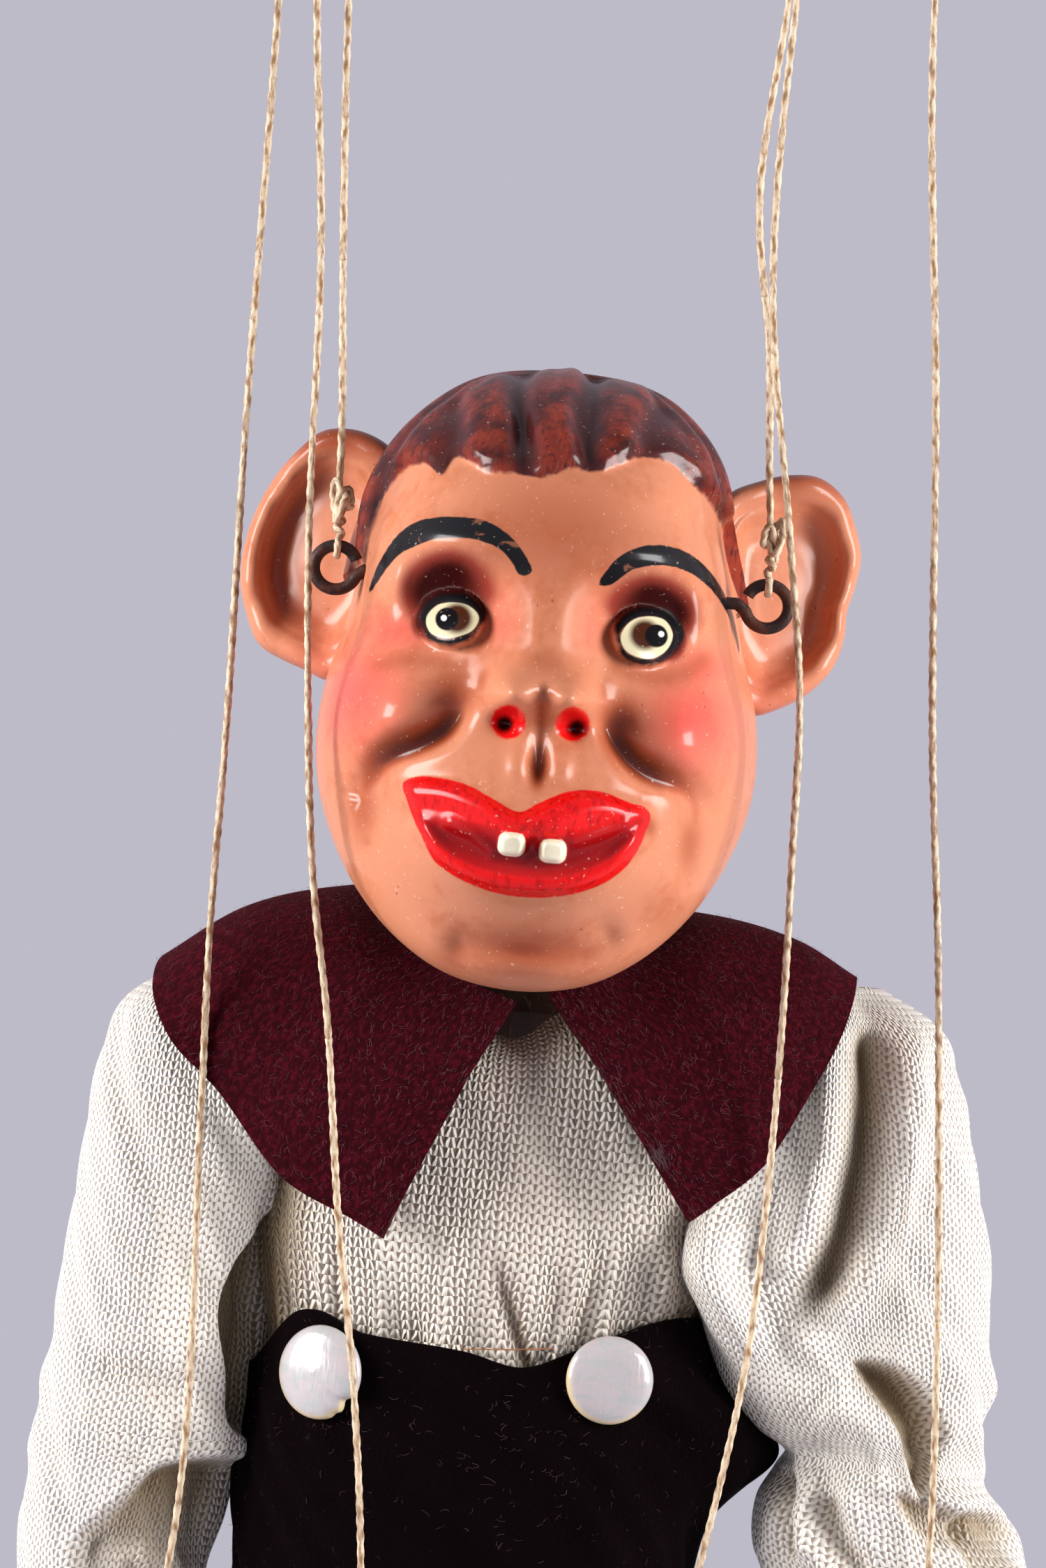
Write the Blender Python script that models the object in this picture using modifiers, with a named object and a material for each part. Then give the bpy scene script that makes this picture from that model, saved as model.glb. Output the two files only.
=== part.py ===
"""Source of a string marionette: a boy with a moulded head, hung from a wooden control by six strings.

Metres, +Z up, the puppet faces -Y. Left and right are the viewer's: left is -X.
The origin is the middle of the control's top face, so everything else hangs below it.
Heights called LEVEL are measured up from the soles of the shoes.
"""

import math

import bmesh
import bpy
import numpy as np
from mathutils import Matrix, Vector

# Whole object
HANG_HEIGHT = 0.612
HEAD_Y = -0.006
BODY_Y = 0.005
CLOTH_GAP = 0.0004
PIECE_GAP = 0.0003

# Control
GRIP_WIDTH = 0.018
GRIP_LENGTH = 0.120
GRIP_HEIGHT = 0.012
STRING_BAR_LENGTH = 0.112
STRING_BAR_WIDTH = 0.016
STRING_BAR_HEIGHT = 0.008
STRING_HOLE_RADIUS = 0.0009
STRING_HOLE_X = (0.034, 0.041, 0.048)
CONTROL_EDGE = 0.001
SCREW_RADIUS = 0.0015
SCREW_LENGTH = 0.015
SCREW_HEAD_RADIUS = 0.0032
SCREW_HEAD_HEIGHT = 0.002
SCREW_OFFSET_Y = 0.0045

# Strings
STRING_DIAMETER = 0.0011

# Head, in its own frame: x across, y forward negative, z as a LEVEL
CROWN_LEVEL = 0.380
CHIN_LEVEL = 0.300
HEAD_WALL = 0.0035
HEAD_SIDES = 28
HEAD_ROWS = 18
NECK_HOLE_RADIUS = 0.0092
EAR_LEVEL = 0.355
EAR_X = 0.0265
EAR_Y = 0.006
EAR_REACH = 0.0150
EAR_DEPTH = 0.0055
EAR_HOLLOW_REACH = 0.0095
EAR_HOLLOW_HALF_HEIGHT = 0.0125
EAR_HALF_HEIGHT = 0.0160
EAR_HOLLOW_X = 0.0295
EAR_HOLLOW_Y = -0.0005
TEMPLE_EYE_X = 0.0282
TEMPLE_EYE_Y = -0.012
TEMPLE_EYE_LEVEL = 0.3527
TEMPLE_EYE_RADIUS = 0.00285
TEMPLE_EYE_WIRE = 0.0008
TEMPLE_EYE_SHANK = 0.0085

# Neck
NOD_LEVEL = 0.318
HEAD_BAR_RADIUS = 0.0011
HEAD_BAR_LENGTH = 0.030
NECK_RADIUS = 0.0052
NECK_TONGUE_HALF = 0.0024
NECK_STEM_RADIUS = 0.0028
NECK_STEM_LENGTH = 0.011

# Body block: LEVEL, half width, half depth
BODY_TOP_LEVEL = 0.3030
BODY_BOTTOM_LEVEL = 0.2190
BODY_STATIONS = (
    (BODY_TOP_LEVEL, 0.0120, 0.0090),
    (0.3010, 0.0200, 0.0120),
    (0.2970, 0.0255, 0.0145),
    (0.2900, 0.0275, 0.0158),
    (0.2760, 0.0270, 0.0160),
    (0.2620, 0.0252, 0.0155),
    (0.2500, 0.0250, 0.0158),
    (0.2360, 0.0275, 0.0170),
    (0.2250, 0.0272, 0.0165),
    (BODY_BOTTOM_LEVEL, 0.0250, 0.0150),
)
HIP_KEEL_HALF = 0.0048
HIP_KEEL_RADIUS = 0.0070

# Joint places
SHOULDER_LEVEL = 0.286
SHOULDER_X = 0.039
LEFT_ARM_TILT = math.radians(1.5)
RIGHT_ARM_TILT = math.radians(13.0)
UPPER_ARM_LENGTH = 0.052
FOREARM_LENGTH = 0.052
HIP_LEVEL = 0.210
HIP_X = 0.0125
THIGH_LENGTH = 0.098
SHIN_LENGTH = 0.086
ANKLE_LEVEL = HIP_LEVEL - THIGH_LENGTH - SHIN_LENGTH

# Pins and tongues
PIN_CLEARANCE = 0.0003
SHOULDER_PIN_RADIUS = 0.0013
ELBOW_PIN_RADIUS = 0.0010
WRIST_PIN_RADIUS = 0.0009
HIP_PIN_RADIUS = 0.0015
KNEE_PIN_RADIUS = 0.0012
ANKLE_PIN_RADIUS = 0.0012
ELBOW_TONGUE_HALF = 0.00145
WRIST_TONGUE_HALF = 0.00115
KNEE_TONGUE_HALF = 0.0020
ANKLE_TONGUE_HALF = 0.0020
ELBOW_END_RADIUS = 0.0048
WRIST_END_RADIUS = 0.0040
KNEE_END_RADIUS = 0.0062
ANKLE_END_RADIUS = 0.0080

# Small screw eyes at the wrists and knees
SMALL_EYE_RADIUS = 0.0019
SMALL_EYE_WIRE = 0.0005
WRIST_EYE_RISE = 0.0080
KNEE_EYE_RISE = 0.0115
WRIST_EYE_DROP = FOREARM_LENGTH - WRIST_EYE_RISE
KNEE_EYE_DROP = THIGH_LENGTH - KNEE_EYE_RISE

# Clothes
SHIRT_THICKNESS = 0.0010
SHIRT_HEM_LEVEL = 0.2460
SHIRT_NECK_LEVEL = 0.2985
TROUSER_THICKNESS = 0.0012
TROUSER_TOP_LEVEL = 0.2550
SEAT_BOTTOM_LEVEL = 0.2030
TROUSER_HEM_DROP = 0.0770
SLEEVE_THICKNESS = 0.0010
SLEEVE_INNER_REACH = 0.0054
LEFT_SLEEVE_REACH = 0.0125
RIGHT_SLEEVE_REACH = 0.0175
FELT_THICKNESS = 0.0014
COLLAR_NECK_LEVEL = 0.3076
COLLAR_NECK_RISE = 0.0076
COLLAR_NECK_HALF_WIDTH = 0.0140
COLLAR_NECK_HALF_DEPTH = 0.0160
BUTTON_RADIUS = 0.0057
BUTTON_THICKNESS = 0.0022
BUTTON_LEVEL = 0.2495
LEFT_BUTTON_X = -0.0208
RIGHT_BUTTON_X = 0.0170

# Hand and shoe
THUMB_RADIUS = 0.0023
SHOE_TOE_Y = -0.034
SHOE_HEEL_Y = 0.013

SKIN = (0.72, 0.31, 0.15)
CREAM = (0.72, 0.62, 0.46)
FELT = (0.06, 0.008, 0.016)
VELVET = (0.018, 0.004, 0.008)
BEECH = (0.55, 0.36, 0.19)
TWINE = (0.68, 0.50, 0.32)
IRON = (0.06, 0.03, 0.02)
STEEL = (0.45, 0.45, 0.46)
PEARL = (0.75, 0.72, 0.66)
BLACK = (0.02, 0.016, 0.015)

for old in list(bpy.data.objects):
    bpy.data.objects.remove(old, do_unlink=True)

PARTS = bpy.data.collections.new("string_marionette")
CUTTERS = bpy.data.collections.new("cutters")
CUTTERS.hide_render = True
bpy.context.scene.collection.children.link(PARTS)
bpy.context.scene.collection.children.link(CUTTERS)


def hang(level):
    """The Z of a LEVEL, which is measured up from the soles."""
    return level - HANG_HEIGHT


def finish(name, colour, roughness, metallic=0.0):
    """One plain Principled material."""
    made = bpy.data.materials.new(name)
    made.use_nodes = True
    shader = made.node_tree.nodes["Principled BSDF"]
    shader.inputs["Base Color"].default_value = (*colour, 1.0)
    shader.inputs["Roughness"].default_value = roughness
    shader.inputs["Metallic"].default_value = metallic
    return made


def place(name, data, material, parent=None, location=(0, 0, 0), turn=(0, 0, 0), cutter=False):
    """Puts mesh or curve data in the scene as one named object."""
    obj = bpy.data.objects.new(name, data)
    obj.location = location
    obj.rotation_euler = turn
    obj.parent = parent
    if cutter:
        CUTTERS.objects.link(obj)
        obj.hide_render = True
        obj.display_type = "WIRE"
    else:
        PARTS.objects.link(obj)
        data.materials.append(material)
    return obj


def axis_empty(name, location, parent=None, turn=(0, 0, 0)):
    """An empty on a joint's axis, for the pieces that move with it."""
    empty = bpy.data.objects.new(name, None)
    empty.location = location
    empty.rotation_euler = turn
    empty.parent = parent
    PARTS.objects.link(empty)
    return empty


def mesh_from(name, work, closed=True):
    """A mesh from a bmesh, which is freed. The faces of a closed one are turned outward."""
    if closed:
        bmesh.ops.recalc_face_normals(work, faces=work.faces[:])
    data = bpy.data.meshes.new(name)
    work.to_mesh(data)
    work.free()
    return data


def oval(half_x, half_y, count, power=2.0):
    """Points of a superellipse round the middle, as two arrays."""
    angle = np.linspace(0.0, 2.0 * math.pi, count, endpoint=False)
    c, s = np.cos(angle), np.sin(angle)
    return half_x * np.sign(c) * np.abs(c) ** (2 / power), half_y * np.sign(s) * np.abs(s) ** (2 / power)


def ring(level, half_x, half_y, count, power=2.0, middle=(0.0, 0.0)):
    """One horizontal ring of a loft."""
    x, y = oval(half_x, half_y, count, power)
    return np.stack([x + middle[0], y + middle[1], np.full(count, level)], axis=1)


def loft(name, rings, ends=True):
    """A skin through rings of equal count, closed by a flat cap at each end if ends is set."""
    work = bmesh.new()
    rows = [[work.verts.new(point) for point in one] for one in rings]
    count = len(rows[0])
    for upper, lower in zip(rows[:-1], rows[1:]):
        for i in range(count):
            j = (i + 1) % count
            work.faces.new((upper[i], lower[i], lower[j], upper[j]))
    if ends:
        work.faces.new(rows[0])
        work.faces.new(rows[-1])
    return mesh_from(name, work, ends)


def box_mesh(name, size, middle=(0, 0, 0)):
    """A box of a full size about a middle."""
    work = bmesh.new()
    bmesh.ops.create_cube(work, size=1.0)
    bmesh.ops.scale(work, vec=size, verts=work.verts[:])
    bmesh.ops.translate(work, vec=middle, verts=work.verts[:])
    return mesh_from(name, work)


def rod_mesh(name, radius, length, along="X", middle=(0, 0, 0), sides=14):
    """A round rod along X, Y or Z about a middle."""
    turn = {
        "X": Matrix.Rotation(math.pi / 2, 4, "Y"),
        "Y": Matrix.Rotation(math.pi / 2, 4, "X"),
        "Z": Matrix.Identity(4),
    }[along]
    work = bmesh.new()
    bmesh.ops.create_cone(
        work,
        cap_ends=True,
        segments=sides,
        radius1=radius,
        radius2=radius,
        depth=length,
        matrix=Matrix.Translation(middle) @ turn,
    )
    return mesh_from(name, work)


def ball_mesh(name, radii, middle, sides=20, rows=12):
    """An ellipsoid about a middle."""
    work = bmesh.new()
    bmesh.ops.create_uvsphere(work, u_segments=sides, v_segments=rows, radius=1.0)
    bmesh.ops.scale(work, vec=radii, verts=work.verts[:])
    bmesh.ops.translate(work, vec=middle, verts=work.verts[:])
    return mesh_from(name, work)


def combine(obj, other, operation):
    """Adds an exact boolean of another object to obj."""
    step = obj.modifiers.new(f"{operation.lower()} {other.name}", "BOOLEAN")
    step.operation = operation
    step.solver = "EXACT"
    step.object = other


def cut(obj, name, data, parent=None, location=(0, 0, 0), turn=(0, 0, 0)):
    """Cuts a shape out of obj."""
    combine(obj, place(name, data, None, parent, location, turn, cutter=True), "DIFFERENCE")


def join(obj, name, data, parent=None, location=(0, 0, 0), turn=(0, 0, 0)):
    """Fuses a shape to obj."""
    combine(obj, place(name, data, None, parent, location, turn, cutter=True), "UNION")


def shell(name, rings, thickness, material, parent=None, location=(0, 0, 0)):
    """A tube of cloth: the rings are its inside, and Solidify thickens it outward."""
    obj = place(name, loft(name, rings, ends=False), material, parent, location)
    thick = obj.modifiers.new("cloth", "SOLIDIFY")
    thick.thickness = thickness
    thick.offset = 1.0
    thick.use_rim = True
    return obj


def wire(name, points, radius, material, parent=None, location=(0, 0, 0)):
    """A round wire or cord along points, with filled ends."""
    curve = bpy.data.curves.new(name, "CURVE")
    curve.dimensions = "3D"
    curve.bevel_depth = radius
    curve.bevel_resolution = 2
    curve.use_fill_caps = True
    spline = curve.splines.new("POLY")
    spline.points.add(len(points) - 1)
    for spot, point in zip(spline.points, points):
        spot.co = (*point, 1.0)
    return place(name, curve, material, parent, location)


def screw_eye(name, radius, wire_radius, shank, inward, material, parent, middle):
    """A bent-wire eye in the plane of Z and inward, its shank pointing along inward from the ring."""
    inward = Vector(inward)
    upright = Vector((0, 0, 1))
    points = []
    for degrees in range(58, 341, 28):
        angle = math.radians(degrees)
        points.append(radius * (math.cos(angle) * inward + math.sin(angle) * upright))
    points.append((radius + 0.35 * wire_radius) * inward - 0.2 * radius * upright)
    points.append((radius + 1.1 * wire_radius) * inward)
    points.append((radius + shank) * inward)
    return wire(name, [tuple(p) for p in points], wire_radius, material, parent, middle)


PAINTED_SKIN = finish("painted_skin", SKIN, 0.35)
KNIT = finish("cream_knit", CREAM, 0.6)
WOOL_FELT = finish("wine_felt", FELT, 0.95)
PLUSH = finish("dark_plush", VELVET, 0.9)
WOOD = finish("plain_beech", BEECH, 0.55)
STRING = finish("twisted_twine", TWINE, 0.9)
RUSTY_IRON = finish("brown_iron", IRON, 0.6, 0.6)
BRIGHT_STEEL = finish("steel", STEEL, 0.35, 1.0)
SHELL = finish("pearl_shell", PEARL, 0.25)
LEATHER = finish("black_leather_paint", BLACK, 0.3)

BAR_TOP = -GRIP_HEIGHT - PIECE_GAP
BAR_BOTTOM = BAR_TOP - STRING_BAR_HEIGHT
STRING_TOP = BAR_BOTTOM - PIECE_GAP
PUPPET = axis_empty("swing_axis", (0, 0, STRING_TOP))


def below(level, x=0.0, y=0.0):
    """A place in the puppet's frame, whose middle is the swing axis."""
    return (x, y, hang(level) - STRING_TOP)


def make_control():
    """The grip bar, the drilled string bar under it and two screws."""
    grip = place(
        "control_grip_bar",
        box_mesh("grip", (GRIP_WIDTH, GRIP_LENGTH, GRIP_HEIGHT)),
        WOOD,
        location=(0, 0, -GRIP_HEIGHT / 2),
    )
    bar = place(
        "control_string_bar",
        box_mesh("string_bar", (STRING_BAR_LENGTH, STRING_BAR_WIDTH, STRING_BAR_HEIGHT)),
        WOOD,
        location=(0, 0, BAR_TOP - STRING_BAR_HEIGHT / 2),
    )
    for piece in (grip, bar):
        edge = piece.modifiers.new("worn edge", "BEVEL")
        edge.width = CONTROL_EDGE
        edge.segments = 1
    for side in (-1, 1):
        for number, x in enumerate(STRING_HOLE_X):
            drill = rod_mesh("drill", STRING_HOLE_RADIUS, 2 * STRING_BAR_HEIGHT, "Z", sides=8)
            cut(bar, f"string_hole_{side}_{number}", drill, location=(side * x, 0, bar.location.z))
    for end, name in ((-1, "front"), (1, "back")):
        shank = rod_mesh("shank", SCREW_RADIUS, SCREW_LENGTH, "Z", (0, 0, SCREW_LENGTH / 2), 12)
        spot = (0, end * SCREW_OFFSET_Y, STRING_TOP)
        screw = place(f"control_screw_{name}", shank, BRIGHT_STEEL, location=spot)
        head = rod_mesh(
            "screw_head",
            SCREW_HEAD_RADIUS,
            SCREW_HEAD_HEIGHT,
            "Z",
            (0, 0, -SCREW_HEAD_HEIGHT / 2 + PIECE_GAP / 10),
            12,
        )
        join(screw, f"screw_head_{name}", head, location=spot)
        for piece in (grip, bar):
            bore = rod_mesh(
                "bore",
                SCREW_RADIUS + PIECE_GAP,
                SCREW_LENGTH + 2 * PIECE_GAP,
                "Z",
                (0, 0, SCREW_LENGTH / 2),
                12,
            )
            cut(piece, f"screw_bore_{name}_{piece.name}", bore, location=spot)


def head_skin(inset):
    """Rings of the head from crown to chin, drawn in by inset. Face and nape have their own depths."""
    levels = np.array([0.3000, 0.3010, 0.3040, 0.3090, 0.3150, 0.3220, 0.3300, 0.3400, 0.3500, 0.3600,
                       0.3700, 0.3760, 0.3790, 0.3800])
    widths = [0.0, 7.5, 14.0, 20.5, 24.3, 27.6, 29.0, 28.2, 26.0, 25.0, 21.0, 15.2, 9.0, 0.0]
    widths = np.array(widths) * 0.001
    fronts = np.array([16, 21.5, 27.5, 31.5, 34, 35, 35, 34.5, 35, 33, 26.5, 17.5, 10, 0]) * -0.001
    backs = np.array([-16, -10.5, -3, 8, 17, 25, 31, 34.5, 34.5, 31, 23.5, 15.5, 9, 0]) * 0.001
    middle, half = (CROWN_LEVEL + CHIN_LEVEL) / 2, (CROWN_LEVEL - CHIN_LEVEL) / 2
    turn = np.linspace(0.10, math.pi - 0.10, HEAD_ROWS if inset == 0 else HEAD_ROWS // 2)
    around = np.linspace(0, 2 * math.pi, HEAD_SIDES if inset == 0 else HEAD_SIDES // 2, endpoint=False)
    rings = []
    for level in middle + half * np.cos(turn):
        width = np.interp(level, levels, widths)
        front, back = np.interp(level, levels, fronts), np.interp(level, levels, backs)
        centre, depth = (front + back) / 2, (back - front) / 2
        x, y = width * np.cos(around), centre + depth * np.sin(around)
        face = np.clip(-np.sin(around), 0, 1)
        nose = 0.0085 * np.exp(-(((x) / 0.0062) ** 2 + ((level - 0.3385) / 0.0075) ** 2))
        cheek = 0.0022 * np.exp(-(((np.abs(x) - 0.017) / 0.008) ** 2 + ((level - 0.331) / 0.009) ** 2))
        lips = 0.0026 * np.exp(-((x / 0.012) ** 2 + ((level - 0.3185) / 0.006) ** 2))
        y = y - face * (nose + cheek + lips)
        pull = 1 - inset / np.maximum(np.hypot(x, y - centre), inset * 1.5) if inset else 1.0
        raised = middle + (level - middle) * (1 - inset / half)
        rings.append(np.stack([x * pull, centre + (y - centre) * pull, np.full(len(x), raised)], axis=1))
    return rings


def make_head(parent):
    """The hollow head with its ears, the two temple eyes and the cross bar that it hangs on."""
    skin = [one - np.array([0, BODY_Y - HEAD_Y, NOD_LEVEL]) for one in head_skin(0.0)]
    spot = (0, 0, 0)
    head = place("head_shell", loft("head_shell", skin), PAINTED_SKIN, parent, spot)
    local = np.array([0, BODY_Y - HEAD_Y, NOD_LEVEL])
    for side, name in ((-1, "left"), (1, "right")):
        middle = np.array([side * EAR_X, EAR_Y, EAR_LEVEL]) - local
        hollow = np.array([side * EAR_HOLLOW_X, EAR_HOLLOW_Y, EAR_LEVEL + 0.0005]) - local
        ear = ball_mesh("ear", (EAR_REACH, EAR_DEPTH, EAR_HALF_HEIGHT), middle, 16, 10)
        scoop = ball_mesh("scoop", (EAR_HOLLOW_REACH, EAR_DEPTH * 0.9, EAR_HOLLOW_HALF_HEIGHT), hollow, 14, 8)
        join(head, f"ear_{name}", ear, parent, spot)
        cut(head, f"ear_hollow_{name}", scoop, parent, spot)
    inside = [one - local for one in head_skin(HEAD_WALL)]
    cut(head, "head_inside", loft("head_inside", inside), parent, spot)
    hole = rod_mesh("neck_hole", NECK_HOLE_RADIUS, 0.040, "Z", (0, 0, -0.008), 20)
    cut(head, "neck_hole", hole, parent, spot)
    for side, name in ((-1, "left"), (1, "right")):
        middle = np.array([side * TEMPLE_EYE_X, TEMPLE_EYE_Y, TEMPLE_EYE_LEVEL]) - local
        screw_eye(
            f"temple_eye_{name}",
            TEMPLE_EYE_RADIUS,
            TEMPLE_EYE_WIRE,
            TEMPLE_EYE_SHANK,
            (-side, 0, 0),
            RUSTY_IRON,
            parent,
            tuple(middle),
        )
        bore = rod_mesh("bore", TEMPLE_EYE_WIRE + PIECE_GAP, 0.012, "X", sides=10)
        inner = middle - np.array([side * (TEMPLE_EYE_RADIUS + 0.0065), 0, 0])
        cut(head, f"temple_bore_{name}", bore, parent, tuple(inner))
    bar = rod_mesh("head_bar", HEAD_BAR_RADIUS, HEAD_BAR_LENGTH, "X", sides=12)
    place("head_cross_bar", bar, BRIGHT_STEEL, parent)
    seat = rod_mesh("bar_seat", HEAD_BAR_RADIUS + PIECE_GAP, HEAD_BAR_LENGTH + 2 * PIECE_GAP, "X", sides=12)
    cut(head, "head_bar_seat", seat, parent)


def make_neck(parent):
    """The neck swivel: a stem in the body, a round neck and a flat tongue round the head's cross bar."""
    top = NOD_LEVEL + 0.0042 - BODY_TOP_LEVEL
    bar = NOD_LEVEL - BODY_TOP_LEVEL
    stations = (
        (-NECK_STEM_LENGTH, NECK_STEM_RADIUS, NECK_STEM_RADIUS),
        (PIECE_GAP, NECK_STEM_RADIUS, NECK_STEM_RADIUS),
        (PIECE_GAP + 0.0002, NECK_RADIUS, NECK_RADIUS),
        (bar - 0.0075, NECK_RADIUS, NECK_RADIUS),
        (bar - 0.0055, NECK_TONGUE_HALF, 0.0042),
        (bar, NECK_TONGUE_HALF, 0.0042),
        (bar + 0.0030, NECK_TONGUE_HALF, 0.0030),
        (top, NECK_TONGUE_HALF, 0.0010),
    )
    rings = [ring(level, x, y, 16, 2.0) for level, x, y in stations]
    neck = place("neck_swivel", loft("neck", rings), WOOD, parent)
    hole = rod_mesh("hole", HEAD_BAR_RADIUS + PIN_CLEARANCE, 0.02, "X", (0, 0, bar), 12)
    cut(neck, "neck_bar_hole", hole, parent)


def make_body():
    """The wooden body block with its hip keel, and the hip pin."""
    rings = [ring(hang(level) - STRING_TOP, x, y, 18, 2.4, (0, BODY_Y)) for level, x, y in BODY_STATIONS]
    body = place("body_block", loft("body_block", rings), WOOD, PUPPET)
    keel_levels = (
        (BODY_BOTTOM_LEVEL + 0.004, 0.0068),
        (HIP_LEVEL, HIP_KEEL_RADIUS),
        (HIP_LEVEL - 0.004, 0.0057),
        (HIP_LEVEL - 0.0064, 0.0028),
        (HIP_LEVEL - 0.0070, 0.0006),
    )
    keel = [ring(below(level)[2], HIP_KEEL_HALF, depth, 16, 4.0, (0, BODY_Y)) for level, depth in keel_levels]
    join(body, "hip_keel", loft("hip_keel", keel), PUPPET)
    stem = rod_mesh(
        "stem_hole",
        NECK_STEM_RADIUS + PIN_CLEARANCE,
        2 * (NECK_STEM_LENGTH + PIECE_GAP),
        "Z",
        below(BODY_TOP_LEVEL, 0, BODY_Y),
        14,
    )
    cut(body, "neck_stem_hole", stem, PUPPET)
    hip_spot = below(HIP_LEVEL, 0, BODY_Y)
    hip_hole = rod_mesh("hip_hole", HIP_PIN_RADIUS + PIN_CLEARANCE, 0.03, "X", hip_spot, 12)
    cut(body, "hip_pin_hole", hip_hole, PUPPET)
    pin = rod_mesh("hip_pin", HIP_PIN_RADIUS, 2 * (HIP_X + 0.0062), "X", sides=10)
    place("hip_pin", pin, BRIGHT_STEEL, PUPPET, below(HIP_LEVEL, 0, BODY_Y))
    return body


def stations_to_rings(stations, count, power=2.3):
    """Rings from (height, half width, half depth, depth offset) rows."""
    return [ring(h, x, y, count, power, (0, off)) for h, x, y, off in stations]


def make_arm(side, name, body):
    """One arm: upper arm on its shoulder pin, forearm, hand, pins, wrist eye. Returns its three empties."""
    tilt = LEFT_ARM_TILT if side < 0 else -RIGHT_ARM_TILT
    shoulder = axis_empty(
        f"shoulder_axis_{name}", below(SHOULDER_LEVEL, side * SHOULDER_X, BODY_Y), PUPPET, (0, tilt, 0)
    )
    elbow = axis_empty(f"elbow_axis_{name}", (0, 0, -UPPER_ARM_LENGTH), shoulder)
    wrist = axis_empty(f"wrist_axis_{name}", (0, 0, -FOREARM_LENGTH), elbow)

    length, end = UPPER_ARM_LENGTH, ELBOW_END_RADIUS
    upper_stations = (
        (0.0054, 0.0034, 0.0010, 0),
        (0.0044, 0.0036, 0.0032, 0),
        (0.0024, 0.0040, 0.0049, 0),
        (0.0000, 0.0042, 0.0054, 0),
        (-0.0140, 0.0048, 0.0056, 0),
        (-0.0380, 0.0047, 0.0052, 0),
        (-length, 0.0044, end, 0),
        (-length - 0.0025, 0.0044, 0.0041, 0),
        (-length - 0.0042, 0.0044, 0.0023, 0),
        (-length - end + 0.0001, 0.0044, 0.0006, 0),
    )
    upper_rings = stations_to_rings(upper_stations, 12)
    upper = place(f"upper_arm_{name}", loft("upper_arm", upper_rings), WOOD, shoulder)
    bore = rod_mesh("bore", SHOULDER_PIN_RADIUS + PIN_CLEARANCE, 0.02, "X", sides=10)
    cut(upper, f"shoulder_bore_{name}", bore, shoulder)
    slot = box_mesh("slot", (2 * (ELBOW_TONGUE_HALF + PIECE_GAP), 0.02, 0.012), (0, 0, -0.0010))
    cut(upper, f"elbow_slot_{name}", slot, elbow)
    bore = rod_mesh("bore", ELBOW_PIN_RADIUS + PIN_CLEARANCE, 0.02, "X", sides=10)
    cut(upper, f"elbow_bore_{name}", bore, elbow)

    pin_in = -side * 0.0165
    pin_out = side * 0.0052
    pin = rod_mesh("pin", SHOULDER_PIN_RADIUS, abs(pin_out - pin_in), "X", ((pin_in + pin_out) / 2, 0, 0), 12)
    place(f"shoulder_pin_{name}", pin, BRIGHT_STEEL, shoulder)
    socket = rod_mesh("socket", SHOULDER_PIN_RADIUS + PIN_CLEARANCE, 0.022, "X", (-side * 0.006, 0, 0), 12)
    cut(body, f"shoulder_socket_{name}", socket, shoulder)

    fore_end = WRIST_END_RADIUS
    fore_stations = (
        (0.0041, ELBOW_TONGUE_HALF, 0.0006, 0),
        (0.0033, ELBOW_TONGUE_HALF, 0.0024, 0),
        (0.0018, ELBOW_TONGUE_HALF, 0.0037, 0),
        (0.0000, ELBOW_TONGUE_HALF, 0.0041, 0),
        (-end - 0.0006, ELBOW_TONGUE_HALF, 0.0036, 0),
        (-end - 0.0012, 0.0036, 0.0036, 0),
        (-0.0150, 0.0044, 0.0047, 0),
        (-0.0380, 0.0038, 0.0041, 0),
        (-FOREARM_LENGTH, 0.0037, fore_end, 0),
        (-FOREARM_LENGTH - 0.0020, 0.0037, 0.0034, 0),
        (-FOREARM_LENGTH - 0.0034, 0.0037, 0.0020, 0),
        (-FOREARM_LENGTH - fore_end + 0.0001, 0.0037, 0.0005, 0),
    )
    fore = place(f"forearm_{name}", loft("forearm", stations_to_rings(fore_stations, 12)), WOOD, elbow)
    bore = rod_mesh("bore", ELBOW_PIN_RADIUS + PIN_CLEARANCE, 0.02, "X", sides=10)
    cut(fore, f"forearm_bore_{name}", bore, elbow)
    slot = box_mesh("slot", (2 * (WRIST_TONGUE_HALF + PIECE_GAP), 0.02, 0.0105), (0, 0, -0.0010))
    cut(fore, f"wrist_slot_{name}", slot, wrist)
    bore = rod_mesh("bore", WRIST_PIN_RADIUS + PIN_CLEARANCE, 0.02, "X", sides=10)
    cut(fore, f"wrist_bore_{name}", bore, wrist)
    place(f"elbow_pin_{name}", rod_mesh("pin", ELBOW_PIN_RADIUS, 0.0084, "X", sides=10), BRIGHT_STEEL, elbow)
    eye_y = -0.0040 - SMALL_EYE_RADIUS - SMALL_EYE_WIRE - 0.0006
    eye_z = -WRIST_EYE_DROP
    screw_eye(
        f"wrist_eye_{name}",
        SMALL_EYE_RADIUS,
        SMALL_EYE_WIRE,
        0.0042,
        (0, 1, 0),
        RUSTY_IRON,
        elbow,
        (0, eye_y, eye_z),
    )
    bore = rod_mesh("bore", SMALL_EYE_WIRE + PIECE_GAP, 0.006, "Y", (0, -0.0028, eye_z), 8)
    cut(fore, f"wrist_eye_bore_{name}", bore, elbow)

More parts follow.
